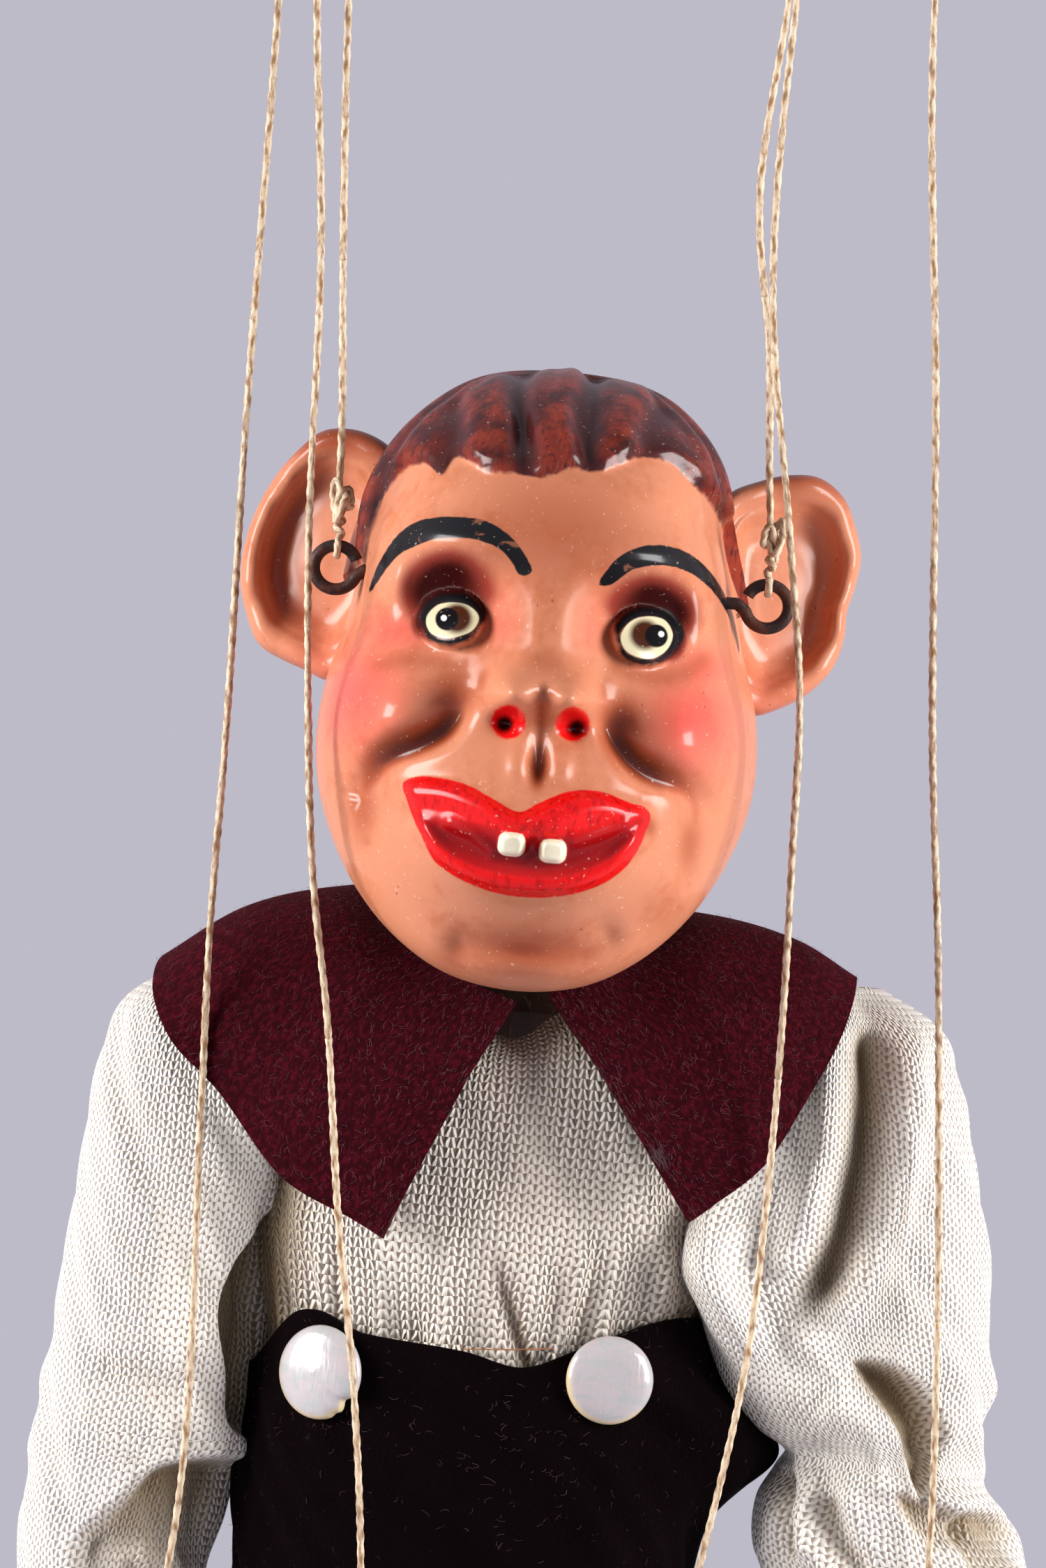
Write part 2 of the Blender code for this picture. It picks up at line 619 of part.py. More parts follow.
    hand_stations = (
        (0.0033, WRIST_TONGUE_HALF, 0.0006, 0),
        (0.0025, WRIST_TONGUE_HALF, 0.0022, 0),
        (0.0000, WRIST_TONGUE_HALF, 0.0033, 0),
        (-fore_end - 0.0006, WRIST_TONGUE_HALF, 0.0030, 0),
        (-fore_end - 0.0012, 0.0032, 0.0034, 0),
        (-0.0090, 0.0039, 0.0052, 0),
        (-0.0150, 0.0042, 0.0078, 0),
        (-0.0210, 0.0040, 0.0082, 0.0004),
        (-0.0280, 0.0035, 0.0074, 0.0008),
        (-0.0330, 0.0028, 0.0058, 0.0010),
        (-0.0360, 0.0014, 0.0030, 0.0012),
    )
    hand = place(f"hand_{name}", loft("hand", stations_to_rings(hand_stations, 14)), PAINTED_SKIN, wrist)
    thumb = ball_mesh("thumb", (THUMB_RADIUS, THUMB_RADIUS * 1.1, 0.0068), (0, 0, 0), 10, 8)
    join(hand, f"thumb_{name}", thumb, wrist, (0, -0.0082, -0.0165), (math.radians(-24), 0, 0))
    bore = rod_mesh("bore", WRIST_PIN_RADIUS + PIN_CLEARANCE, 0.02, "X", sides=10)
    cut(hand, f"hand_bore_{name}", bore, wrist)
    place(f"wrist_pin_{name}", rod_mesh("pin", WRIST_PIN_RADIUS, 0.0070, "X", sides=10), BRIGHT_STEEL, wrist)
    return shoulder, elbow, wrist


def make_leg(side, name):
    """One leg: thigh, shin, shoe, pins and knee eye. Returns its hip empty."""
    hip = axis_empty(f"hip_axis_{name}", below(HIP_LEVEL, side * HIP_X, BODY_Y), PUPPET)
    knee = axis_empty(f"knee_axis_{name}", (0, 0, -THIGH_LENGTH), hip)
    ankle = axis_empty(f"ankle_axis_{name}", (0, 0, -SHIN_LENGTH), knee)

    end = KNEE_END_RADIUS
    thigh_stations = (
        (0.0074, 0.0050, 0.0010, 0),
        (0.0060, 0.0055, 0.0045, 0),
        (0.0035, 0.0062, 0.0066, 0),
        (0.0000, 0.0066, 0.0075, 0),
        (-0.0200, 0.0070, 0.0078, 0),
        (-0.56 * THIGH_LENGTH, 0.0068, 0.0072, 0),
        (-KNEE_EYE_DROP + 0.0015, 0.0061, 0.0065, 0),
        (-THIGH_LENGTH, 0.0060, end, 0),
        (-THIGH_LENGTH - 0.0032, 0.0060, 0.0053, 0),
        (-THIGH_LENGTH - 0.0053, 0.0060, 0.0031, 0),
        (-THIGH_LENGTH - end + 0.0001, 0.0060, 0.0008, 0),
    )
    thigh = place(f"thigh_{name}", loft("thigh", stations_to_rings(thigh_stations, 14)), WOOD, hip)
    bore = rod_mesh("bore", HIP_PIN_RADIUS + PIN_CLEARANCE, 0.03, "X", sides=10)
    cut(thigh, f"hip_bore_{name}", bore, hip)
    slot = box_mesh("slot", (2 * (KNEE_TONGUE_HALF + PIECE_GAP), 0.03, 0.0160), (0, 0, -0.0015))
    cut(thigh, f"knee_slot_{name}", slot, knee)
    bore = rod_mesh("bore", KNEE_PIN_RADIUS + PIN_CLEARANCE, 0.03, "X", sides=10)
    cut(thigh, f"knee_bore_{name}", bore, knee)
    place(f"knee_pin_{name}", rod_mesh("pin", KNEE_PIN_RADIUS, 0.0116, "X", sides=10), BRIGHT_STEEL, knee)
    eye_y = -0.0064 - SMALL_EYE_RADIUS - SMALL_EYE_WIRE - 0.0008
    screw_eye(
        f"knee_eye_{name}",
        SMALL_EYE_RADIUS,
        SMALL_EYE_WIRE,
        0.0052,
        (0, 1, 0),
        RUSTY_IRON,
        hip,
        (0, eye_y, -KNEE_EYE_DROP),
    )
    bore = rod_mesh("bore", SMALL_EYE_WIRE + PIECE_GAP, 0.008, "Y", (0, -0.0045, -KNEE_EYE_DROP), 8)
    cut(thigh, f"knee_eye_bore_{name}", bore, hip)

    cuff = ANKLE_END_RADIUS
    shin_stations = (
        (0.0053, KNEE_TONGUE_HALF, 0.0008, 0),
        (0.0043, KNEE_TONGUE_HALF, 0.0031, 0),
        (0.0024, KNEE_TONGUE_HALF, 0.0048, 0),
        (0.0000, KNEE_TONGUE_HALF, 0.0053, 0),
        (-end - 0.0007, KNEE_TONGUE_HALF, 0.0048, 0),
        (-end - 0.0014, 0.0046, 0.0048, 0),
        (-0.0200, 0.0057, 0.0064, 0.0008),
        (-0.0360, 0.0055, 0.0062, 0.0008),
        (-0.0600, 0.0044, 0.0048, 0),
        (-SHIN_LENGTH + cuff + 0.0010, 0.0042, 0.0045, 0),
        (-SHIN_LENGTH + cuff + 0.0004, ANKLE_TONGUE_HALF, 0.0040, 0),
        (-SHIN_LENGTH, ANKLE_TONGUE_HALF, 0.0040, 0),
        (-SHIN_LENGTH - 0.0026, ANKLE_TONGUE_HALF, 0.0029, 0),
        (-SHIN_LENGTH - 0.0039, ANKLE_TONGUE_HALF, 0.0008, 0),
    )
    shin = place(f"shin_{name}", loft("shin", stations_to_rings(shin_stations, 14)), PAINTED_SKIN, knee)
    bore = rod_mesh("bore", KNEE_PIN_RADIUS + PIN_CLEARANCE, 0.03, "X", sides=10)
    cut(shin, f"shin_knee_bore_{name}", bore, knee)
    bore = rod_mesh("bore", ANKLE_PIN_RADIUS + PIN_CLEARANCE, 0.03, "X", sides=10)
    cut(shin, f"shin_ankle_bore_{name}", bore, ankle)

    sole = -ANKLE_LEVEL
    foot_stations = (
        (SHOE_HEEL_Y, 0.0045, sole + 0.0070, 0.0055),
        (SHOE_HEEL_Y - 0.0015, 0.0068, sole + 0.0085, 0.0080),
        (0.0040, 0.0085, sole + 0.0110, 0.0110),
        (-0.0080, 0.0088, sole + 0.0090, 0.0095),
        (-0.0180, 0.0098, sole + 0.0065, 0.0075),
        (-0.0270, 0.0098, sole + 0.0055, 0.0065),
        (SHOE_TOE_Y + 0.0020, 0.0075, sole + 0.0045, 0.0050),
        (SHOE_TOE_Y, 0.0045, sole + 0.0040, 0.0035),
    )
    rings = []
    for y, half_x, middle, half_z in foot_stations:
        x, z = oval(half_x, half_z, 14, 2.6)
        flat = np.maximum(z + middle, sole)
        rings.append(np.stack([x, np.full(14, y), flat], axis=1))
    shoe = place(f"shoe_{name}", loft("shoe", rings), LEATHER, ankle)
    throat = (
        (cuff - 0.0001, 0.0062, 0.0010, 0),
        (0.0066, 0.0064, 0.0045, 0),
        (0.0040, 0.0066, 0.0069, 0),
        (0.0000, 0.0068, cuff, 0),
        (-0.0070, 0.0072, 0.0088, 0),
        (-0.0150, 0.0074, 0.0092, 0),
    )
    join(shoe, f"throat_{name}", loft("throat", stations_to_rings(throat, 14)), ankle)
    slot = box_mesh("slot", (2 * (ANKLE_TONGUE_HALF + PIECE_GAP), 0.0240, 0.0140), (0, 0, 0.0020))
    cut(shoe, f"ankle_slot_{name}", slot, ankle)
    bore = rod_mesh("bore", ANKLE_PIN_RADIUS + PIN_CLEARANCE, 0.03, "X", sides=10)
    cut(shoe, f"ankle_bore_{name}", bore, ankle)
    place(f"ankle_pin_{name}", rod_mesh("pin", ANKLE_PIN_RADIUS, 0.0126, "X", sides=10), BRIGHT_STEEL, ankle)
    return hip


def body_ring(level, grow, count=18):
    """A ring round the body block at a level, grown outward."""
    table = np.array(sorted(BODY_STATIONS))
    half_x = np.interp(level, table[:, 0], table[:, 1]) + grow
    half_y = np.interp(level, table[:, 0], table[:, 2]) + grow
    return ring(hang(level) - STRING_TOP, half_x, half_y, count, 2.4, (0, BODY_Y))


def collar_sheet():
    """The collar as rows from the neck edge to the outer edge, from left front round the back to right."""
    one_side = [20, 45, 70, 90, 108, 128, 150, 166]
    around = np.radians(np.array([-turn for turn in one_side[::-1]] + [0] + one_side))
    neck_x, neck_y = COLLAR_NECK_HALF_WIDTH * np.sin(around), BODY_Y + COLLAR_NECK_HALF_DEPTH * np.cos(around)
    neck_z = COLLAR_NECK_LEVEL + COLLAR_NECK_RISE * np.cos(around)
    turn = np.degrees(np.abs(around))
    edge_x = np.sign(around) * np.interp(turn, [0, 45, 70, 90, 108, 128, 150, 166],
                                         [0.0, 0.026, 0.040, 0.0465, 0.0455, 0.036, 0.027, 0.020])
    edge_y = np.interp(turn, [0, 45, 70, 90, 108, 128, 150, 166],
                       [0.029, 0.0275, 0.0190, 0.0070, -0.0060, -0.0136, -0.0158, -0.0160])
    edge_z = np.interp(turn, [0, 45, 70, 90, 108, 128, 150, 166],
                       [0.288, 0.290, 0.2945, 0.2985, 0.2945, 0.2840, 0.2750, 0.2690])
    inner = np.stack([neck_x, neck_y, neck_z], axis=1)
    outer = np.stack([edge_x, edge_y, edge_z], axis=1)
    rows = []
    for share, lift in ((0.0, 0.0), (0.25, 0.0030), (0.5, 0.0046), (0.75, 0.0036), (1.0, 0.0)):
        row = inner + share * (outer - inner)
        row[:, 2] += lift
        row[:, 1] -= 0.5 * lift * np.clip((turn - 100) / 60, 0, 1)
        rows.append(row)
    return rows


def make_clothes(arms, hips):
    """Shirt, collar, sleeves, trousers and buttons as plain closed pieces."""
    levels = (SHIRT_NECK_LEVEL, 0.2970, 0.2900, 0.2760, 0.2620, 0.2500, SHIRT_HEM_LEVEL)
    rings = [body_ring(level, CLOTH_GAP) for level in levels]
    shirt = shell("shirt_body", rings, SHIRT_THICKNESS, KNIT, PUPPET)

    work = bmesh.new()
    rows = [[work.verts.new((x, y, hang(z) - STRING_TOP)) for x, y, z in row] for row in collar_sheet()]
    for upper, lower in zip(rows[:-1], rows[1:]):
        for i in range(len(upper) - 1):
            work.faces.new((upper[i], upper[i + 1], lower[i + 1], lower[i]))
    collar = place("collar", mesh_from("collar", work, False), WOOL_FELT, PUPPET)
    thick = collar.modifiers.new("felt", "SOLIDIFY")
    thick.thickness = FELT_THICKNESS
    thick.offset = 0.0
    thick.use_rim = True

    grow = CLOTH_GAP + SHIRT_THICKNESS + CLOTH_GAP
    levels = (TROUSER_TOP_LEVEL, 0.2500, 0.2360, 0.2250, BODY_BOTTOM_LEVEL, SEAT_BOTTOM_LEVEL)
    wider = (0.0006, 0.0008, 0.0006, 0.0006, 0.0014, 0.0020)
    rings = [body_ring(level, grow + more) for level, more in zip(levels, wider)]
    shell("trousers_seat", rings, TROUSER_THICKNESS, PLUSH, PUPPET)
    for side, name in ((-1, "left"), (1, "right")):
        hip = hips[name]
        inner, outer = 0.0108, 0.0150
        leg_rings = []
        stations = (
            (HIP_LEVEL - SEAT_BOTTOM_LEVEL + PIECE_GAP, 0.98, 0.0140),
            (0.0200, 1.0, 0.0138),
            (0.0500, 1.0, 0.0134),
            (TROUSER_HEM_DROP, 1.04, 0.0136),
        )
        for drop, reach, depth in stations:
            half = (inner + outer * reach) / 2
            middle = side * (outer * reach - inner) / 2
            leg_rings.append(ring(-drop, half, depth, 14, 2.2, (middle, 0)))
        shell(f"trouser_leg_{name}", leg_rings, TROUSER_THICKNESS, PLUSH, hip)

        shoulder, elbow, _ = arms[name]
        reach = LEFT_SLEEVE_REACH if side < 0 else RIGHT_SLEEVE_REACH
        depth = 0.0105 if side < 0 else 0.0125
        upper_rings = []
        stations = ((0.0050, 0.72, 0.80), (-0.0060, 0.95, 1.0), (-0.0280, 1.0, 1.0), (-0.0462, 1.0, 1.0))
        for height, wide, deep in stations:
            half = (SLEEVE_INNER_REACH + reach * wide) / 2
            middle = side * (reach * wide - SLEEVE_INNER_REACH) / 2
            upper_rings.append(ring(height, half, depth * deep, 14, 2.2, (middle, 0)))
        sleeve = shell(f"sleeve_upper_{name}", upper_rings, SLEEVE_THICKNESS, KNIT, shoulder)
        for cloth in (shirt, sleeve):
            pin_space = SHOULDER_PIN_RADIUS + CLOTH_GAP
            hole = rod_mesh("pin_hole", pin_space, 0.018, "X", (-side * 0.009, 0, 0), 10)
            cut(cloth, f"pin_hole_{cloth.name}_{name}", hole, shoulder)
        lower_rings = []
        stations = ((0.0050, 1.0, 1.0), (-0.0120, 0.98, 0.95), (-0.0300, 0.72, 0.80), (-0.0400, 0.46, 0.56))
        for height, wide, deep in stations:
            half = (SLEEVE_INNER_REACH + reach * wide) / 2
            middle = side * (reach * wide - SLEEVE_INNER_REACH) / 2
            lower_rings.append(ring(height, half, depth * deep, 14, 2.2, (middle, 0)))
        shell(f"sleeve_lower_{name}", lower_rings, SLEEVE_THICKNESS, KNIT, elbow)

    for name, x, y, turn in (("left", LEFT_BUTTON_X, -0.0131, -26), ("right", RIGHT_BUTTON_X, -0.0160, 12)):
        profile = bpy.data.meshes.new(f"button_profile_{name}")
        half = BUTTON_THICKNESS / 2
        rim = BUTTON_RADIUS
        face = ((0, half), (0.53 * rim, half), (0.88 * rim, 0.6 * half))
        outline = (*face, (rim, 0), (0.91 * rim, -half), (0, -half))
        profile.from_pydata([(r, 0, h) for r, h in outline], [(i, i + 1) for i in range(5)], [])
        button = place(
            f"button_{name}",
            profile,
            SHELL,
            PUPPET,
            below(BUTTON_LEVEL, x, y),
            (math.radians(90), 0, math.radians(turn)),
        )
        spin = button.modifiers.new("turned", "SCREW")
        spin.axis = "Z"
        spin.steps = 24
        spin.render_steps = 24
        spin.use_merge_vertices = True
        spin.merge_threshold = 0.00001


def make_strings():
    """Six strings through points chosen from the photograph: x, y and LEVEL, from the control down."""
    top = HANG_HEIGHT + STRING_TOP
    routes = {
        "head_string_left": (
            (-STRING_HOLE_X[0], 0.0, top), (-0.0345, -0.006, 0.500), (-0.0333, -0.012, 0.4255),
            (-0.0309, -0.0165, 0.3925), (-0.0289, -0.0178, 0.3680), (-0.0285, -0.0180, 0.3573),
        ),
        "head_string_right": (
            (STRING_HOLE_X[0], 0.0, top), (0.0290, -0.006, 0.500), (0.0240, -0.011, 0.4307),
            (0.0226, -0.014, 0.4050), (0.0257, -0.0165, 0.3848), (0.0270, -0.0176, 0.3700),
            (0.0284, -0.0180, 0.3573),
        ),
        "leg_string_left": (
            (-STRING_HOLE_X[1], 0.0, top), (-0.0395, -0.008, 0.500), (-0.0373, -0.0145, 0.4250),
            (-0.0340, -0.0200, 0.3960), (-0.0318, -0.0240, 0.3546), (-0.0300, -0.0255, 0.3345),
            (-0.0272, -0.0250, 0.3113), (-0.0241, -0.0240, 0.2954), (-0.0201, -0.0226, 0.2683),
            (-0.0161, -0.0222, 0.2463), (-0.0132, -0.0210, 0.2242), (-0.0125, -0.0165, 0.1700),
            (-0.0125, -0.0114, 0.1328), (-0.0125, -0.0078, 0.1262),
        ),
        "leg_string_right": (
            (STRING_HOLE_X[1], 0.0, top), (0.0320, -0.008, 0.500), (0.0250, -0.0140, 0.4307),
            (0.0254, -0.0190, 0.3920), (0.0302, -0.0240, 0.3620), (0.0333, -0.0255, 0.3414),
            (0.0343, -0.0235, 0.3199), (0.0350, -0.0205, 0.3017), (0.0352, -0.0195, 0.2794),
            (0.0344, -0.0210, 0.2550), (0.0308, -0.0215, 0.2282), (0.0205, -0.0170, 0.1750),
            (0.0136, -0.0114, 0.1328), (0.0125, -0.0078, 0.1262),
        ),
        "hand_string_left": (
            (-STRING_HOLE_X[2], 0.0, top), (-0.0450, -0.007, 0.500), (-0.0425, -0.0115, 0.4246),
            (-0.0417, -0.0140, 0.3700), (-0.0406, -0.0145, 0.3284), (-0.0404, -0.0130, 0.3030),
            (-0.0395, -0.0118, 0.2808), (-0.0383, -0.0105, 0.2219), (-0.0408, -0.0066, 0.2030),
            (-0.0415, -0.0046, 0.1924),
        ),
        "hand_string_right": (
            (STRING_HOLE_X[2], 0.0, top), (0.0455, -0.007, 0.500), (0.0432, -0.0115, 0.4324),
            (0.0480, -0.0145, 0.3800), (0.0520, -0.0150, 0.3317), (0.0545, -0.0140, 0.3116),
            (0.0565, -0.0130, 0.2915), (0.0591, -0.0125, 0.2613), (0.0608, -0.0118, 0.2310),
            (0.0606, -0.0084, 0.2075), (0.0604, -0.0048, 0.1950),
        ),
    }
    for name, route in routes.items():
        wire(name, [below(level, x, y) for x, y, level in route], STRING_DIAMETER / 2, STRING, PUPPET)


make_control()
body_piece = make_body()
neck_axis = axis_empty("turn_axis", below(BODY_TOP_LEVEL, 0, BODY_Y), PUPPET)
nod_axis = axis_empty("nod_axis", (0, 0, NOD_LEVEL - BODY_TOP_LEVEL), neck_axis)
make_neck(neck_axis)
make_head(nod_axis)
arm_axes = {name: make_arm(side, name, body_piece) for side, name in ((-1, "left"), (1, "right"))}
hip_axes = {name: make_leg(side, name) for side, name in ((-1, "left"), (1, "right"))}
make_clothes(arm_axes, hip_axes)
make_strings()
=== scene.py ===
"""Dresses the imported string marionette: painted head, felt collar, knit shirt, plush trousers, pearl buttons, twine.

Sizes inside the classes are millimetres in the puppet's own frame: x to the viewer's right, y away from the viewer
and level up from the soles. in_frame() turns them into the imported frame's metres.
"""

import logging
import math
from dataclasses import dataclass, field
from enum import Enum
from functools import cache
from typing import Optional, Sequence, Union

import bpy
import numpy as np
from mathutils import Matrix


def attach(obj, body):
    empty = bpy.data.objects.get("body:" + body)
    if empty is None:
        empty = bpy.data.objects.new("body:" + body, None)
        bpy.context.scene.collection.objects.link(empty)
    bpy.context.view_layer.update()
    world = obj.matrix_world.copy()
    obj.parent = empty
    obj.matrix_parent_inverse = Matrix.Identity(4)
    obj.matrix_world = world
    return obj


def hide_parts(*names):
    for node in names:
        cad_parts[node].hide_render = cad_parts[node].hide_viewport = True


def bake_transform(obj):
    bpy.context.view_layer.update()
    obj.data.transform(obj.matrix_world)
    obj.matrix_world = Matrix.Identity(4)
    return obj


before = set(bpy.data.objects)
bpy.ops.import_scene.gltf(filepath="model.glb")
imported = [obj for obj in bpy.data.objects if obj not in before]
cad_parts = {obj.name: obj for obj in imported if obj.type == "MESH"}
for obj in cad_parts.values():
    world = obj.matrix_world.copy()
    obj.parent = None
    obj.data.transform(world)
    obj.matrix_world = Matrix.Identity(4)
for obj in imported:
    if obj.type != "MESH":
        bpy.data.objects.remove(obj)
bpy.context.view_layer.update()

LOG = logging.getLogger("marionette")
Array = np.ndarray
Colour = tuple[float, float, float, float]
Socket = bpy.types.NodeSocket
Value = Union[float, Socket]

MM = 0.001
FULL_TURN = 2.0 * math.pi
UP = np.array([0.0, 0.0, 1.0])

# Millimetres: the control's height, the strings' start below it, the depths of head and body, joints and screw eyes.
HANG = 612.0
STRING_DROP = 20.6
HEAD_Y = -6.0
BODY_Y = 5.0
SHOULDER_X = 39.0
SHOULDER_LEVEL = 286.0
SHOULDER_SPAN = (293.0, 268.0)
WRIST_DROP = 104.0
WRIST_EYE_DROP = 96.0
HIP_X = 12.5
KNEE_LEVEL = 112.0
KNEE_EYE_LEVEL = 123.5
LIMBS = ("upper_arm", "forearm", "thigh")


class Side(Enum):
    """The viewer's side of a paired piece, with its sign along x."""

    LEFT = -1
    RIGHT = 1

    @property
    def word(self) -> str:
        """The side as it ends a node's name."""
        return self.name.lower()

    @property
    def lean(self) -> float:
        """The arm's lean from upright, in radians."""
        return math.radians(1.5 if self is Side.LEFT else -13.0)


def in_frame(points: Array) -> Array:
    """Millimetres above the soles as metres in the frame: the hanging height comes off z, then all is over 1000."""
    return (np.asarray(points, float) - np.array([0.0, 0.0, HANG])) * MM


def spot(x: float, y: float, level: float) -> tuple[float, float, float]:
    """One place of the puppet as a tuple of metres in the frame."""
    return tuple(float(v) for v in in_frame(np.array([x, y, level])))


def tint(red: int, green: int, blue: int) -> Colour:
    """The linear colour of a screen colour's 0 to 255 values."""
    share = np.array([red, green, blue]) / 255.0
    linear = np.where(share <= 0.04045, share / 12.92, ((share + 0.055) / 1.055) ** 2.4)
    return (float(linear[0]), float(linear[1]), float(linear[2]), 1.0)


def step_up(value: Array, low: float, high: float) -> Array:
    """0 below low, 1 above high and a smooth S between them. low may be above high, which turns it round."""
    share = np.clip((value - low) / (high - low), 0.0, 1.0)
    return share * share * (3.0 - 2.0 * share)


def bell(value: Array, spread: Union[float, Array]) -> Array:
    """A bell curve: 1 at 0, falling off on both sides with the given spread."""
    return np.exp(-((value / spread) ** 2))


def turns(count: int) -> Array:
    """Even angles once round from 0, without the last."""
    return np.linspace(0.0, FULL_TURN, count, endpoint=False)


def run_along(path: Array) -> Array:
    """How far along a path each of its points is."""
    return np.concatenate([[0.0], np.cumsum(np.linalg.norm(np.diff(path, axis=0), axis=1))])


def unit(vectors: Array) -> Array:
    """Vectors of length 1 along the last axis."""
    return vectors / np.maximum(np.linalg.norm(vectors, axis=-1, keepdims=True), 1e-12)


def curve_at(where: Array, knots: Sequence[float], values: Sequence) -> Array:
    """A smooth curve through values at rising knots.

    Between two knots it is the cubic whose slope at each knot is that of the parabola through its neighbours.

    Args:
        where: Places along the knots, held to their range.
        knots: Rising places of the values.
        values: One number or one row of numbers for each knot.

    Returns:
        The curve at each place, with the values' row length as a last axis where they have one.
    """
    x, y = np.asarray(knots, float), np.asarray(values, float)
    slope = np.gradient(y, x, axis=0)
    where = np.clip(np.asarray(where, float), x[0], x[-1])
    i = np.clip(np.searchsorted(x, where, side="right") - 1, 0, len(x) - 2)
    gap = x[i + 1] - x[i]
    t = (where - x[i]) / gap
    if y.ndim > 1:
        t, gap = t[..., None], gap[..., None]
    first = (1 + 2 * t) * (1 - t) ** 2 * y[i] + t * (1 - t) ** 2 * gap * slope[i]
    return first + t * t * (3 - 2 * t) * y[i + 1] + t * t * (t - 1) * gap * slope[i + 1]


def trace(points: Sequence, step: float, closed: bool = False) -> Array:
    """A smooth path through points, with even steps along it.

    Args:
        points: The places that the path goes through.
        step: About how far apart the path's own points are.
        closed: Whether the path returns to its first point.

    Returns:
        The path's points, one row each.
    """
    p = np.asarray(points, float)
    if closed:
        p = np.concatenate([p[-3:], p, p[:4]])
    run = run_along(p)
    low, high = (run[3], run[-4]) if closed else (run[0], run[-1])
    fine = curve_at(np.linspace(low, high, 3000), run, p)
    went = run_along(fine)
    want = np.linspace(0.0, went[-1], max(int(went[-1] / step), 6) + 1)
    return np.stack([np.interp(want, went, fine[:, k]) for k in range(p.shape[1])], axis=1)


def path_gap(x: Array, z: Array, path: Array) -> tuple[Array, Array]:
    """The distance from places in the front view to a path, and how far along it the nearest point is.

    Args:
        x: Places across.
        z: Places up.
        path: The path's points, two numbers each.

    Returns:
        The distances, and shares from 0 at the path's start to 1 at its end.
    """
    best, share = np.full(x.shape, 1e9), np.zeros(x.shape)
    count = len(path) - 1
    for k, (a, b) in enumerate(zip(path[:-1], path[1:])):
        d = b - a
        t = np.clip(((x - a[0]) * d[0] + (z - a[1]) * d[1]) / max(float(d @ d), 1e-12), 0.0, 1.0)
        gap = np.hypot(x - a[0] - t * d[0], z - a[1] - t * d[1])
        share = np.where(gap < best, (k + t) / count, share)
        best = np.minimum(best, gap)
    return best, share


def outline_gap(x: Array, z: Array, outline: Sequence, step: float = 0.5) -> Array:
    """The signed distance to a smooth closed outline in the front view: below 0 inside it.

    A place is inside where a line to its right crosses the outline an odd number of times.
    """
    path = trace(outline, step, closed=True)
    gap, _ = path_gap(x, z, path)
    inside = np.zeros(x.shape, bool)
    for (ax, az), (bx, bz) in zip(path[:-1], path[1:]):
        if az != bz:
            inside ^= ((az > z) != (bz > z)) & (x < (bx - ax) * (z - az) / (bz - az) + ax)
    return np.where(inside, -gap, gap)


def nearest(x: Array, z: Array, step: float, *lines: Sequence) -> Array:
    """The distance to the nearest of several smooth lines in the front view."""
    return np.min([path_gap(x, z, trace(line, step))[0] for line in lines], axis=0)


def hump(x: Array, z: Array, at: tuple[float, float], wide: float, up: float, down: Optional[float] = None) -> Array:
    """A round bump of height 1 in the front view: a bell curve, with its own spread above and below its middle."""
    tall = np.where(z > at[1], up, up if down is None else down)
    return np.exp(-(((x - at[0]) / wide) ** 2) - ((z - at[1]) / tall) ** 2)


def wander(phase: Array, seed: int) -> Array:
    """A smooth wavering between about -1 and 1: the mean of four sine waves with odd lengths and seeded starts."""
    rng = np.random.default_rng(seed)
    starts = rng.uniform(0.0, FULL_TURN, 4)
    waves = [np.sin(phase * rate + start) for rate, start in zip((1.0, 1.73, 2.61, 4.37), starts)]
    return np.mean(waves, axis=0) * 1.5


